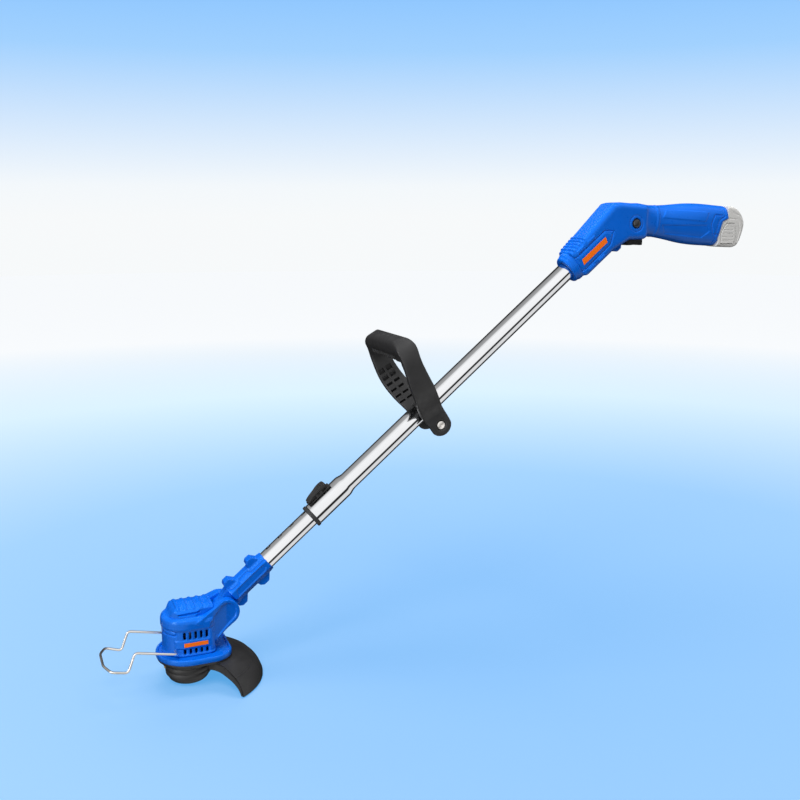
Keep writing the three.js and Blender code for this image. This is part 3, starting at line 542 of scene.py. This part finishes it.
def build_cap():
    dome = cut(cap_shape(), lathe(rod(19, 80, 98)))
    mould(dome, 0.6, 7)
    for i in range(5):
        x = -13 + 9.6 * i
        raise_panel(dome, TOP, -1, rectangle(x - 1.7, x + 1.7, -19, 19), 1.1, 2.2, 0.1)
    for side in (-1, 1):
        groove(dome, UPRIGHT, side, [(-12.6, 95.3), (12.9, 96)], 2.4, 1.7, facing=0.2)
    return finish_piece(dome, "head_cap", BLUE, "head", ["top_cap"])


def build_flange():
    layers = [(35.5, -6), (35.5, -1), (36.2, -0.2), (37, 0), (41.2, 0), (42.4, -0.5), (43, -1.5), (43, -2.6),
              (42.3, -3.4), (41.2, -4), (41.2, -6), (42.9, -11), (42.9, -14)]
    plate = cut(plan_loft(layers, flange_plan), lathe(rod(7, 20, 60), segments=48))
    return finish_piece(plate, "base_flange_plate", BLUE, "head", ["base_flange"], 50)


# ---------------------------------------------------------------- guard
def build_guard():
    """The grass guard: a curved skirt with a beaded edge, a plate under the flange and a collar."""
    spread = math.radians(56)
    outer_skin = curve_through([(36, 35.2), (60, 32.5), (75, 26), (86, 17), (91, 8.5), (93, 0.5)], 8)
    inner_skin = curve_through([(90.6, 0.5), (88.6, 8), (84, 15.6), (73.5, 23.6), (59, 29.8), (36, 32.4)], 8)
    bead = [(93, 0.5), (93, 3.4), (92.2, 4.6), (89.4, 4.6), (88.6, 3.4), (88.6, 0.5)]
    lip = curve_through([(89, 0.5), (85, 7.5), (77, 14), (67, 18.5), (56, 22), (45, 22.5), (36, 21)], 5)

    def sector(profile, start, end, steps):
        """The (radius, height) profile swept round the spool's axis."""
        rings = []
        for i in range(steps + 1):
            t = start + (end - start) * i / steps
            rings.append([(r * math.cos(t), r * math.sin(t), z) for r, z in profile])
        return loft(rings)

    skirt = sector(outer_skin + inner_skin, -spread, spread, 88)
    edge = sector(bead, -spread, spread, 88)
    lips = [sector(outer_skin + lip, side * spread, side * (spread - 0.045), 3) for side in (-1, 1)]
    seams = [sector(arc(r, z, 0.9, 0, 360, 8)[:-1], -spread, spread, 60)
             for r, z in ((80.2, 21.9), (40.5, 34.3))]
    plate = plan_loft([(31.5, -3.2), (32.6, -1.6), (34.6, -1), (35.2, -1.2)], flange_plan)
    collar = lathe([(31.3, 27), (33, 27), (33.8, 28), (34.6, 31), (36.5, 33), (31.3, 33)], segments=128)
    room = lathe(rod(31.3, -20, 60), segments=128)
    shell = cut(join(plate, collar, skirt, edge, *lips, *seams), room)
    for side in (-1, 1):
        place = Matrix.Translation((0, side * 35.6, 31.2))
        shell = cut(shell, lathe(rod(3.4, -3, 1.6), place=place, segments=32))
    ease_edges(shell, 0.35, 2, 35)
    return finish_piece(shell, "grass_guard", BLACK, "head", ["guard"], 40)


# ---------------------------------------------------------------- spool and bump cap
def build_spool():
    cup = [(4.3, 34.2), (27.6, 34.2), (28.6, 33.8), (29, 33), (29, 30.6), (28.2, 30), (28.2, 28.8),
           (28.9, 28.2), (29, 25.4), (28.5, 24.8), (28.5, 23.8), (29, 23.2), (29, 18.4), (28.4, 17.8),
           (28.4, 16.8), (28.8, 16.2), (28.4, 12), (27.9, 11), (26.9, 11), (26.9, 31.6), (4.3, 31.6)]
    shell = lathe(cup, segments=128)
    for turn in (0, math.pi):
        place = Matrix.Rotation(turn, 4, "Z") @ Matrix.Translation((0, 0, 22))
        shell = cut(shell, lathe(rod(2.2, 20, 40), "X", place, 32))
    finish_piece(shell, "spool_cup", BLACK, "rotor", ["spool_housing"], 45)
    dish = [(0, 0), (11.4, 0), (12.2, 0.5), (15, 0.7), (19, 1.6), (22, 3.2), (24, 5), (25.5, 7.4),
            (26.3, 9.7), (26.3, 12), (25.8, 12.6), (24, 12.6), (23.3, 9.5), (18, 5.5), (10, 3.6), (0, 3.6)]
    cap = lathe(dish, segments=128)
    ease_edges(cap, 0.3, 2, 30)
    finish_piece(cap, "bump_knob", BLACK, "reel", ["bump_cap"], 45)


def build_wire():
    """The folding wire: straight runs between corners, with a round bend at each."""
    half, wide = 33, 36
    corners = [(-19, 21.6, 50.5), (-19, half, 50.5), (-68.5, half, 61.5), (-77.5, half, 37.5),
               (-97, wide, 43), (-104.5, wide / 2, 44.5)]
    points = [Vector(c) for c in corners + [(x, -y, z) for x, y, z in reversed(corners)]]
    path = [points[0]]
    for i in range(1, len(points) - 1):
        corner = points[i]
        bend = 5.5 if abs(corner.x) > 90 else 4.6
        before = corner.lerp(points[i - 1], min(0.48, bend / (corner - points[i - 1]).length))
        after = corner.lerp(points[i + 1], min(0.48, bend / (corner - points[i + 1]).length))
        for s in range(9):
            t = s / 8
            path.append(before * (1 - t)**2 + corner * 2 * t * (1 - t) + after * t**2)
    path.append(points[-1])
    wire = tube(path, 1.5, 20)
    return finish_piece(wire, "plant_guard_wire", BRIGHT, "plant_guard", ["wire_guard"], 50)


# ---------------------------------------------------------------- lower shaft
def build_socket():
    """The socket that holds the lower tube: an eight-sided barrel with screw lugs and the hinge's tongue."""
    lugs = [
        [(14, 8), (16, 18), (19, 20.5), (26, 20.5), (31, 13), (31, 8)],
        [(52, 8), (54, 18), (57, 20.5), (64, 20.5), (69, 13), (69, 8)],
        [(11, -8), (12, -17), (16, -20.5), (23, -20.5), (30, -13), (30, -8)],
        [(47, -8), (49, -17), (53, -20.5), (61, -20.5), (68, -13), (68, -8)],
    ]
    across_flats = 26
    eight_sided = arc(0, 0, across_flats / 2 / math.cos(math.pi / 8), 22.5, 337.5, 7)
    sections = [(15, 0.97), (16, 1), (72, 1), (73.6, 0.97), (75.2, 0.97), (76, 0.93)]
    body = loft([[(a, y * s, z * s) for y, z in eight_sided] for a, s in sections], SHAFT)
    knee = SHAFT.inverted() @ PIVOT_CENTRE
    tongue = join(lathe(rod(14, -8.2, 8.2), "Y", SHAFT @ Matrix.Translation(knee), 96),
                  prism([(knee.x, -12), (18, -12), (18, 12.5), (4, 9), (knee.x, 8)], -8.2, 8.2, place=SHAFT))
    shape = join(body, tongue, *[prism(lug, -7, 7, place=SHAFT) for lug in lugs])
    seat = lathe(rod(11.95, 24, 90), "X", SHAFT, 64)
    shape = cut(shape, seat)
    mould(shape, 0.68, 2)
    panel = [(20, -4.2), (66, -4.2), (70, -1), (70, 3), (66, 4.4), (24, 4.4)]
    ridge = [(17, 12.2), (20, 7.6), (31, 7.2), (35, 10.4), (49, 10.4), (53, 7.2), (74, 7.2)]
    for side in (-1, 1):
        raise_panel(shape, SHAFT, side, panel, -0.8, 1.2, 0.6)
        groove(shape, SHAFT, side, ridge, 1.0, 1.2, facing=0.2)
        groove(shape, SHAFT, side, [(20, -8), (72, -8)], 0.8, 1.1, facing=0.2)
    return finish_piece(shape, "shaft_socket", BLUE, "lower_shaft",
                        ["socket_left", "socket_right"])


def swage(radius, change, start, length, steps):
    """Lathe points where a tube's radius eases from one size to another."""
    return [(radius + change * (0.5 - 0.5 * math.cos(math.pi * i / steps)), start + length * i / steps)
            for i in range(1, steps + 1)]


def build_tubes():
    """The slotted lower tube, the upper tube with its swaged end, and the black ring between them."""
    lower = lathe(sleeve(10.65, 11.65, 25, 437, 0.2), "X", SHAFT, 128)
    for i in range(10):
        middle = 88.5 + 20.5 * i
        lower = cut(lower, box(middle - 3.5, middle + 3.5, -2.5, 2.5, 8, 14, SHAFT))
    finish_piece(lower, "inner_tube", CHROME, "lower_shaft", ["lower_tube"], 30)
    profile = [(13.6, 159.4), (14, 159), (14.7, 159), (15, 159.4), (15, 211)]
    profile += swage(15, -2.3, 211, 12, 10)
    profile += [(12.7, 699.6), (12.5, 700), (12.2, 700), (12, 699.6), (12, 224.6)]
    profile += swage(12, 1.6, 224.6, -12, 8)
    upper = lathe(profile, "X", SHAFT, 128)
    finish_piece(upper, "outer_tube", CHROME, "upper", ["upper_tube"], 30)
    lip = [(11.95, 154.6), (12.4, 154), (14.8, 154), (15.5, 154.4), (15.9, 155), (15.9, 157.8), (15.5, 158.6),
           (13.3, 158.6), (13.3, 205), (11.95, 205)]
    ring = lathe(lip, "X", SHAFT, 96)
    finish_piece(ring, "tube_collar_ring", BLACK, "upper", ["tube_bushing"], 40)


def build_latch():
    arm = [(164, 17.2), (164, 19.5), (174, 21.8), (197, 21.8), (197, 19.6), (187, 17.2)]
    pad = curve_through([(164.6, 19.2), (168, 20.6), (174, 22), (180, 23), (186, 24.3), (192, 24.6),
                         (196, 23.8)], 4)
    pad += [(197, 22), (196.6, 21.2), (172, 21.2), (165, 18.6)]
    paddle = join(prism(arm, -5, 5, place=SHAFT), prism(pad, -7.2, 7.2, place=SHAFT))
    for along in (184, 187, 190, 193):
        paddle = cut(paddle, box(along, along + 0.9, -6, 6, 23.7, 27, SHAFT))
    paddle = cut(paddle, box(178.4, 185.6, -3, 3, 10, 21, SHAFT),
                 lathe(rod(1.8, -9, 9), "Y", SHAFT @ Matrix.Translation((182, 0, 19)), 24))
    tooth = prism([(165, 12.3), (167.6, 12.3), (168.6, 17.4), (165, 17.8)], -1.9, 1.9, place=SHAFT)
    paddle = join(paddle, tooth)
    ease_edges(paddle, 0.5, 3, 30)
    return finish_piece(paddle, "latch_paddle", BLACK, "latch", ["latch_lever"], 40)


# ---------------------------------------------------------------- loop handle
def build_loop():
    """The assist handle's loop with its ribs and ladder of holes, its clamp and its screw."""
    outer = curve_through([(26, -20), (26, 8), (26.3, 17), (31, 28), (44, 44.5), (54.5, 62), (59.3, 84),
                           (61, 106), (59.5, 124), (54, 133.5), (44, 138.6), (22, 140.2), (0, 141)], 5)
    inner = curve_through([(18.3, 22), (23.5, 31), (38, 49), (48.5, 68), (52.2, 90), (53.2, 104), (50, 111.6),
                           (42, 114.2), (20, 115), (0, 115.4)], 5)
    outer = [(18.3, -20)] + outer
    ring = outer + [(-y, z) for y, z in reversed(outer[:-1])]
    ring += [(-y, z) for y, z in inner] + list(reversed(inner[:-1]))
    from_side = curve_through([(13.4, -7.4), (15, 0), (13, 28), (9.4, 56), (7.5, 85), (8, 106), (10.4, 118),
                               (11, 128), (7.4, 136.8), (-2, 140.6), (-11, 137), (-15.2, 128), (-15.5, 118),
                               (-20, 92), (-22.5, 72), (-22, 46), (-19, 27), (-15, 4), (-13.4, -7.4),
                               (-7.6, -13), (0, -15), (7.6, -13)], 5, closed=True)
    shape = overlap(prism(ring, -40, 40, "X", LOOP), prism(from_side, -70, 70, "Y", LOOP))
    bore = [lathe(rod(3.6, -40, 40), "Y", LOOP, 32), lathe(rod(6.9, -40, -22.8), "Y", LOOP, 48),
            lathe(rod(6.9, 22.8, 40), "Y", LOOP, 48)]
    shape = cut(shape, *bore)
    mould(shape, 0.95, 16)
    seen_from_front = LOOP @ FRONT
    for i in range(11):
        u = -36 + 7.2 * i
        raise_panel(shape, seen_from_front, -1, rectangle(u - 1.8, u + 1.8, 109, 122), -2.6, 1.4, -0.4)
    raise_panel(shape, seen_from_front, -1, [(43, 114), (53, 114.5), (50.5, 103)], -2.2, 1.4, 0)
    # the holes up each arm, by distance out, height and lean in degrees
    rungs = [(29.8, 37.5, 49), (36.2, 44.8, 49), (42, 53, 57), (46.6, 62, 64), (49.6, 72, 74),
             (51.3, 82.5, 80)]
    holes = []
    for side in (-1, 1):
        for y, z, lean in rungs:
            for across in (-15.5, -3.5):
                turn = LOOP @ Matrix.Translation((across, side * y, z))
                turn = turn @ Matrix.Rotation(side * math.radians(90 - lean), 4, "X")
                holes.append(box(-4.4, 4.4, -1.5, 1.5, -3.6, 3.6, turn))
    shape = cut(shape, *holes)
    finish_piece(shape, "assist_loop", BLACK, "assist_handle", ["loop_handle"], 40)
    bolt = [(0, -24.4), (1.2, -24.5), (4.2, -25.6), (5.3, -25.2), (5.8, -24.2), (5.8, -23.3), (3, -23.3),
            (3, 25.4), (0, 25.4)]
    head = lathe(bolt, "Y", LOOP, 64)
    turn = LOOP @ Matrix.Rotation(math.radians(20), 4, "Y")
    head = cut(head, box(-3.2, 3.2, -30, -24, -0.65, 0.65, turn), box(-0.65, 0.65, -30, -24, -3.2, 3.2, turn))
    band = lathe(sleeve(12.75, 13.9, 354, 374, 0.4), "X", SHAFT, 96)
    band = join(band, prism([(353, -12), (372, -12), (370, -25), (355, -25)], -17.8, 17.8, place=SHAFT))
    band = cut(band, lathe(rod(12.75, 340, 390), "X", SHAFT, 96), lathe(rod(3.3, -30, 30), "Y", LOOP, 32))
    ease_edges(band, 0.6, 3, 35)
    finish_piece(band, "loop_clamp_band", BLACK, "upper", ["tube_clamp"], 40)
    finish_piece(head, "loop_screw", BRIGHT, "upper", ["loop_bolt"], 35)


# ---------------------------------------------------------------- rear handle
def shaft_point(along, up):
    """A point beside the shaft, in the handle's own X and Z."""
    found = HANDLE.inverted() @ SHAFT @ Vector((along, 0, up))
    return (found.x, found.z)


# where the rear handle meets the battery, in the handle's own X and Z
SEAM = [(168, 60), (168, 38), (169, 24), (159, 20), (151.5, -4), (153, -8), (149, -25)]


def rounded_prism(outline, half, bevel, place):
    """An outline as thick as twice the half, with rounded edges."""
    piece = prism(outline, -half, half, "Y", place)
    ease_edges(piece, bevel, 5, 40)
    return settle(piece)


def rounded_section(half_width, half_height, power, steps=72):
    """A ring between a box and an ellipse: power 2 is an ellipse."""
    found = []
    for i in range(steps):
        c, d = math.cos(2 * math.pi * i / steps), math.sin(2 * math.pi * i / steps)
        found.append((half_width * math.copysign(abs(c) ** (2 / power), c),
                      half_height * math.copysign(abs(d) ** (2 / power), d)))
    return found


# the lock-off button's axis, in the handle's own X and Z and as a place
LOCK_OFF_PLACE = (8, 17.5)
LOCK_OFF = HANDLE @ Matrix.Translation((LOCK_OFF_PLACE[0], 0, LOCK_OFF_PLACE[1]))

# distance along the grip, half height, half width, and how boxy the section is
GRIP_SECTIONS = [(-20, 23, 19.3, 5), (-8, 22.4, 18.4, 3.6), (4, 21.9, 17.2, 2.7), (18, 22.4, 17.1, 2.3),
                 (32, 23.8, 18.1, 2.15), (46, 25.6, 19.5, 2.15), (60, 27.6, 21, 2.2), (74, 29, 22, 2.3),
                 (90, 29.8, 22.6, 2.5), (105, 29.8, 22.6, 2.8), (122, 29.4, 22.3, 3.2),
                 (150, 28.8, 21.9, 3.6)]


def stripe_on(piece, outline, side, name):
    """A thin orange bar lying on the skin between four corners given in the shaft's frame."""
    tree = BVHTree.FromObject(piece, bpy.context.evaluated_depsgraph_get())
    a, b, c, d = (Vector(p) for p in outline)
    across, high = 40, 8
    top, low = [], []
    for j in range(high + 1):
        for i in range(across + 1):
            s, t = i / across, j / high
            flat = (a * (1 - s) + b * s) * (1 - t) + (d * (1 - s) + c * s) * t
            start = SHAFT @ Vector((flat.x, side * 60, flat.y)) * MM
            hit, normal, _, _ = tree.ray_cast(start, Vector((0, -side, 0)))
            top.append(tuple(hit / MM + normal * 0.35))
            low.append(tuple(hit / MM - normal * 0.8))
    size, row = len(top), across + 1
    faces = []
    for j in range(high):
        for i in range(across):
            k = j * row + i
            faces.append([k, k + 1, k + row + 1, k + row])
            faces.append([size + k, size + k + row, size + k + row + 1, size + k + 1])
    rim = (list(range(across)) + [j * row + across for j in range(high)]
           + [high * row + i for i in range(across, 0, -1)] + [j * row for j in range(high, 0, -1)])
    for k, m in zip(rim, rim[1:] + rim[:1]):
        faces.append([k, m, size + m, size + k])
    finish_piece(solid("stripe", top + low, faces), name, ORANGE, "upper")


def build_handle():
    """The rear handle: barrel, elbow and grip in one hollow shell, with its relief and orange bars."""
    elbow = [shaft_point(654, 21.6), (-31, 44.6), (-24, 46.2), (-15.5, 46.6), (31, 43.4), (31, -4.6),
             (0, -5.4), shaft_point(712, -21.5), shaft_point(654, -21.6)]
    nose = [(0, 643), (18.4, 643), (19.6, 643.8), (20.4, 645.5), (20.6, 648.5), (21.8, 650), (22.2, 652),
            (22.2, 660), (0, 660)]
    sections = curve_through(GRIP_SECTIONS, 5)
    grip = loft([[(a, y, z) for y, z in rounded_section(width, height, power)]
                 for a, height, width, power in sections], GRIP)
    room = [(0, 40), (21, 40), (22.6, 46), (26, 75), (26.4, 170), (0, 170)]
    hook = [(-28, -19), (-14, -22), (-8, -17), (-8, -1), (-24, -1)]
    shape = rounded_prism(elbow, 19.3, 8, HANDLE)
    barrel_end = lathe(nose, "X", SHAFT, 96, BARREL_SQUEEZE)
    shape = join(shape, barrel_end, grip, rounded_prism(hook, 8.5, 2, HANDLE))
    behind = prism(SEAM + [(260, -25), (260, 60)], -60, 60, "Y", HANDLE)
    tube_bore = lathe(rod(13, 630, 702), "X", SHAFT, 96)
    battery_room = lathe(room, "X", GRIP, 96, GRIP_SQUEEZE)
    trigger_slot = box(-4.4, 29, -8.6, 8.6, -33, 7, HANDLE)
    button_hole = lathe(rod(7.1, -40, -12), "Y", LOCK_OFF, 48)
    shape = cut(shape, tube_bore, battery_room, behind, trigger_slot, button_hole)
    mould(shape, 0.86, 3)
    # bars over the top of the barrel, a pointed plate on each side of it, and panels along the grip
    for i in range(6):
        along = 657 + 5.4 * i
        raise_panel(shape, SHAFT @ TOP, -1, rectangle(along - 1.3, along + 1.3, -17, 17), 1.2, 1.6, 0.05)
    plate = [(655, -10.5), (712, -9.5), (727, 1.5), (716, 11.5), (656, 11.5)]
    inner = [(658, -7.8), (711, -6.8), (721.5, 1.2), (714, 8.8), (659.6, 8.8)]
    notches = [
        [(663, 14), (675, 14), (676.5, 18), (664.5, 18)],
        [(683, 14), (697, 14), (698.5, 18), (684.5, 18)],
        [(664, -18), (676, -18), (675, -13.4), (663, -13.4)],
        [(684, -18), (696, -18), (695, -13.4), (683, -13.4)],
    ]
    raised = [(22, 5), (29, 17), (100, 18), (94, 4)]
    sunk = [(22, -5), (30, -17), (92, -19), (104, -9), (98, -1)]
    badge = [(106, 2), (112, 15), (125, 15), (130, 2), (124, -13), (111, -13)]
    rear_line = [(162, 44), (162.5, 36), (163, 27), (153, 22), (145.5, -3), (144, -16)]
    for side in (-1, 1):
        groove(shape, SHAFT, side, plate, 1.3, 1.3, True)
        raise_panel(shape, SHAFT, side, inner, 0.5, 1.0)
        for notch in notches:
            raise_panel(shape, SHAFT, side, notch, 1.1, 1.1, 0.1)
        raise_panel(shape, GRIP, side, raised, 0.8, 1.2, 0.1)
        raise_panel(shape, GRIP, side, sunk, -1.0, 1.2, 0.1)
        groove(shape, GRIP, side, badge, 1.2, 1.2, True)
        raise_panel(shape, GRIP, side, rectangle(13, 17, -26, 26), 0.7, 1.4, 0.05)
        groove(shape, HANDLE, side, rear_line, 1.0, 1.3, facing=0.05)
        groove(shape, HANDLE, side, arc(*LOCK_OFF_PLACE, 11.4, 0, 360, 24), 0.9, 1.2)
    finish_piece(shape, "rear_handle", BLUE_GRIP, "upper", ["handle_left", "handle_right"])
    stripe = [(661, -3.4), (709, -3.4), (711, 4.4), (663, 4.4)]
    for side in (-1, 1):
        stripe_on(shape, stripe, side, f"handle_stripe_{side + 2}")


def build_controls():
    trigger = curve_through([(-2.8, 0.6), (-2.6, -1), (1.4, -11.6), (3.6, -13), (14, -12.4), (25, -13),
                             (27, -10.8), (27, 0.5)], 4) + [(20, 2.6), (0, 2.6)]
    bar = prism(trigger, -8, 8, "Y", HANDLE)
    ease_edges(bar, 1.2, 4, 35)
    finish_piece(bar, "trigger_bar", BLACK_GLOSS, "trigger_body", ["trigger"], 40)
    dome = [(0, -22.2), (1.6, -22.15), (3.4, -21.8), (4.6, -21.2), (5.4, -20.4), (6, -19.4), (6.2, -18.4),
            (6.2, -13), (7.8, -13), (7.8, -11.4), (0, -11.4)]
    knob = lathe(dome, "Y", LOCK_OFF, 64)
    finish_piece(knob, "lock_off_knob", BLACK_GLOSS, "lock_off", ["lock_off_button"], 40)


def build_battery():
    """The battery's case with its stick inside the grip, and a ribbed latch pad on each side."""
    outline = curve_through([(130, 42.5), (168, 42.2), (182, 40), (192, 33.5), (198.5, 24), (200.6, 15),
                             (198.4, 4), (194, -7.5), (189, -14.6), (181, -17.6), (168, -17), (157, -15.8),
                             (130, -15.5)], 5)
    behind = [(x + 0.5, z) for x, z in SEAM] + [(260, -25), (260, 60)]
    base = overlap(rounded_prism(outline, 20.5, 7.5, HANDLE), prism(behind, -60, 60, "Y", HANDLE))
    stick = lathe(rod(21.5, 70, 150, 3), "X", GRIP, 96, GRIP_SQUEEZE)
    base = join(base, stick)
    pad_room = [(164.2, 14.6), (167.6, 17.8), (181.7, 17.8), (184.8, 0), (180.6, -12.8), (157.8, -12.8),
                (156.7, 2)]
    base = cut(base, prism(pad_room, -40, -15.2, "Y", HANDLE), prism(pad_room, 15.2, 40, "Y", HANDLE))
    mould(base, 0.85, 3)
    for side in (-1, 1):
        groove(base, HANDLE, side, [(172, 24), (188, 23), (192.5, 8), (186, -16.5), (158, -16.5)], 0.8, 1.2)
        groove(base, HANDLE, side, [(178, 33), (192, 28), (198, 13), (191, -12)], 0.7, 1.1, facing=0.2)
    finish_piece(base, "battery_case", BATTERY, "battery", ["battery_pack"])
    pad = [(165, 14), (168, 17), (181, 17), (184, 0), (180, -12), (158.5, -12), (157.5, 2)]
    latches = [(-1, "battery_latch_left", "battery_latch_near"),
               (1, "battery_latch_right", "battery_latch_far")]
    for side, node, body in latches:
        button = prism(pad, *span(side, 18.2, 21.6), "Y", HANDLE)
        for i in range(5):
            z = -8 + 5 * i
            button = cut(button, box(160, 180, *span(side, 21.1, 23), z, z + 1.4, HANDLE))
        ease_edges(button, 0.5, 3, 35)
        finish_piece(button, f"{body}_pad", BATTERY, body, [node], 40)


def build_belt_stripe():
    """A plain orange bar on each side of the head's belt."""
    for side in (-1, 1):
        bar = ease_edges(box(-9, 20.5, *span(side, 29.6, 30.95), 56, 61), 0.2, 2)
        finish_piece(bar, f"head_stripe_{side + 2}", ORANGE, "head")


build_housing()
build_cap()
build_flange()
build_guard()
build_spool()
build_wire()
build_socket()
build_tubes()
build_latch()
build_loop()
build_handle()
build_controls()
build_battery()
build_belt_stripe()


# ---------------------------------------------------------------- floor, light and camera
FLOOR_RADIUS = 9
FLOOR_FADE = 3.4
# the world's strength for bounced light, where reflections and the camera see a strength of one
BOUNCED_LIGHT = 0.45
CAMERA_PLACE = (-0.18865, -1.13243, 0.57762)
CAMERA_TURN = (math.radians(79), 0, math.radians(-23))
CAMERA_LENS = 42.57
CAMERA_SENSOR = 36


def gradient(tree, place, kind, stops, source):
    """A colour that runs through the stops over a placed gradient."""
    mapping = tree.nodes.new("ShaderNodeMapping")
    mapping.vector_type = "TEXTURE"
    mapping.inputs["Location"].default_value = place[0]
    mapping.inputs["Rotation"].default_value = place[1]
    mapping.inputs["Scale"].default_value = place[2]
    fade = tree.nodes.new("ShaderNodeTexGradient")
    fade.gradient_type = kind
    ramp = tree.nodes.new("ShaderNodeValToRGB")
    elements = ramp.color_ramp.elements
    for at, _ in stops[2:]:
        elements.new(at)
    for element, (at, colour) in zip(elements, sorted(stops)):
        element.position = at
        element.color = (*colour, 1)
    tree.links.new(source, mapping.inputs["Vector"])
    tree.links.new(mapping.outputs["Vector"], fade.inputs["Vector"])
    tree.links.new(fade.outputs["Fac"], ramp.inputs["Fac"])
    return ramp.outputs["Color"]


def build_floor():
    """A pale floor whose colour is painted light: it glows in a gradient, bluer near the tool, and is out of
    reflections.

    It follows the lower shaft, so that it stays under the head as the shaft telescopes.
    """
    shape = bmesh.new()
    bmesh.ops.create_circle(shape, cap_ends=True, segments=128, radius=FLOOR_RADIUS)
    mesh = bpy.data.meshes.new("studio_floor")
    shape.to_mesh(mesh)
    shape.free()
    floor = bpy.data.objects.new("studio_floor", mesh)
    floor.location = (0.4, 0, -0.001)
    bpy.context.scene.collection.objects.link(floor)
    look = bpy.data.materials.new("glowing_floor")
    look.use_nodes = True
    tree = look.node_tree
    shader = tree.nodes["Principled BSDF"]
    shader.inputs["Roughness"].default_value = 0.95
    shader.inputs["Specular IOR Level"].default_value = 0.1
    place = tree.nodes.new("ShaderNodeTexCoord")
    stops = [(0.02, (0.88, 0.90, 0.92)), (0.45, (0.56, 0.73, 0.88)), (0.75, (0.16, 0.43, 0.78)),
             (0.95, (0.06, 0.34, 0.74))]
    spread = ((0, 0, 0), (0, 0, 0), (FLOOR_FADE, FLOOR_FADE, FLOOR_FADE))
    colour = gradient(tree, spread, "SPHERICAL", stops, place.outputs["Object"])
    # the floor glows in this colour as painted light in place of lamplight; its dark grey base takes the
    # lamps' light and shadows only faintly
    tree.links.new(colour, shader.inputs["Emission Color"])
    shader.inputs["Base Color"].default_value = (0.15, 0.16, 0.17, 1)
    shader.inputs["Emission Strength"].default_value = 1.0
    mesh.materials.append(look)
    floor.parent = frame["bodies"]["lower_shaft"]
    floor.visible_glossy = False
    floor.visible_diffuse = False


def lamp(name, place, target, size, power, shown=False):
    """A soft rectangular lamp aimed at the target, seen in reflections only if shown."""
    data = bpy.data.lights.new(name, "AREA")
    data.shape = "RECTANGLE"
    data.size, data.size_y = size
    data.energy = power
    found = bpy.data.objects.new(name, data)
    found.location = place
    found.rotation_euler = (Vector(target) - Vector(place)).to_track_quat("-Z", "Y").to_euler()
    found.visible_glossy = shown
    bpy.context.scene.collection.objects.link(found)


def build_world():
    """Bands of light along the tool for reflections and bounced light, and plain paper for the camera."""
    world = bpy.data.worlds.new("studio")
    world.use_nodes = True
    bpy.context.scene.world = world
    tree = world.node_tree
    direction = tree.nodes.new("ShaderNodeTexCoord").outputs["Generated"]
    forward = SHAFT.to_3x3() @ Vector((1, 0, 0))
    up = SHAFT.to_3x3() @ Vector((0, 0, 1))
    turn = Matrix((Vector((0, -1, 0)), up, -forward)).transposed().to_euler()
    # degrees round the tool, and brightness
    bands = [(-180, 0.03), (-100, 0.03), (-92, 0.8), (-46, 0.8), (-40, 0.02), (-20, 0.02), (-14, 1.0),
             (60, 1.05), (84, 0.8), (92, 0.42), (140, 0.3), (156, 0.03)]
    stops = [(angle / 360 + 0.5, (value, value, value)) for angle, value in bands]
    boxes = gradient(tree, ((0, 0, 0), turn, (1, 1, 1)), "RADIAL", stops, direction)
    paper_stops = [(0.0, (0.93, 0.95, 0.96)), (0.03, (0.90, 0.94, 0.97)), (0.16, (0.36, 0.64, 1.0)),
                   (0.3, (0.13, 0.45, 1.0))]
    upwards = (0, math.radians(-90), 0)
    paper = gradient(tree, ((0, 0, 0), upwards, (1, 1, 1)), "LINEAR", paper_stops, direction)
    rays = tree.nodes.new("ShaderNodeLightPath")
    choose = tree.nodes.new("ShaderNodeMix")
    choose.data_type = "RGBA"
    tree.links.new(rays.outputs["Is Camera Ray"], choose.inputs["Factor"])
    # a Mix node's colour sockets are inputs 6 and 7 and output 2
    tree.links.new(boxes, choose.inputs[6])
    tree.links.new(paper, choose.inputs[7])
    background = tree.nodes["Background"]
    tree.links.new(choose.outputs[2], background.inputs["Color"])
    seen = tree.nodes.new("ShaderNodeMath")
    seen.operation = "ADD"
    tree.links.new(rays.outputs["Is Camera Ray"], seen.inputs[0])
    tree.links.new(rays.outputs["Is Glossy Ray"], seen.inputs[1])
    strength = tree.nodes.new("ShaderNodeMath")
    strength.operation = "MULTIPLY_ADD"
    strength.inputs[1].default_value = 1 - BOUNCED_LIGHT
    strength.inputs[2].default_value = BOUNCED_LIGHT
    tree.links.new(seen.outputs["Value"], strength.inputs[0])
    tree.links.new(strength.outputs["Value"], background.inputs["Strength"])


def build_camera():
    data = bpy.data.cameras.new("camera")
    data.sensor_width = CAMERA_SENSOR
    data.lens = CAMERA_LENS
    camera = bpy.data.objects.new("camera", data)
    camera.location = CAMERA_PLACE
    camera.rotation_euler = CAMERA_TURN
    bpy.context.scene.collection.objects.link(camera)
    bpy.context.scene.camera = camera
    bpy.context.scene.view_settings.view_transform = "Standard"


build_floor()
lamp("key", (-0.7, -1.1, 2.0), (0.35, 0, 0.2), (1.2, 0.8), 38)
lamp("overhead", (0.5, 0.2, 2.2), (0.4, 0, 0.2), (2.0, 0.8), 34)
lamp("far_side", (0.9, 1.7, 1.5), (0.35, 0, 0.3), (1.6, 1.0), 22)
lamp("strip", (-1.3, -0.75, 0.55), (0.0, 0, 0.12), (0.12, 1.1), 7, True)
build_world()
build_camera()
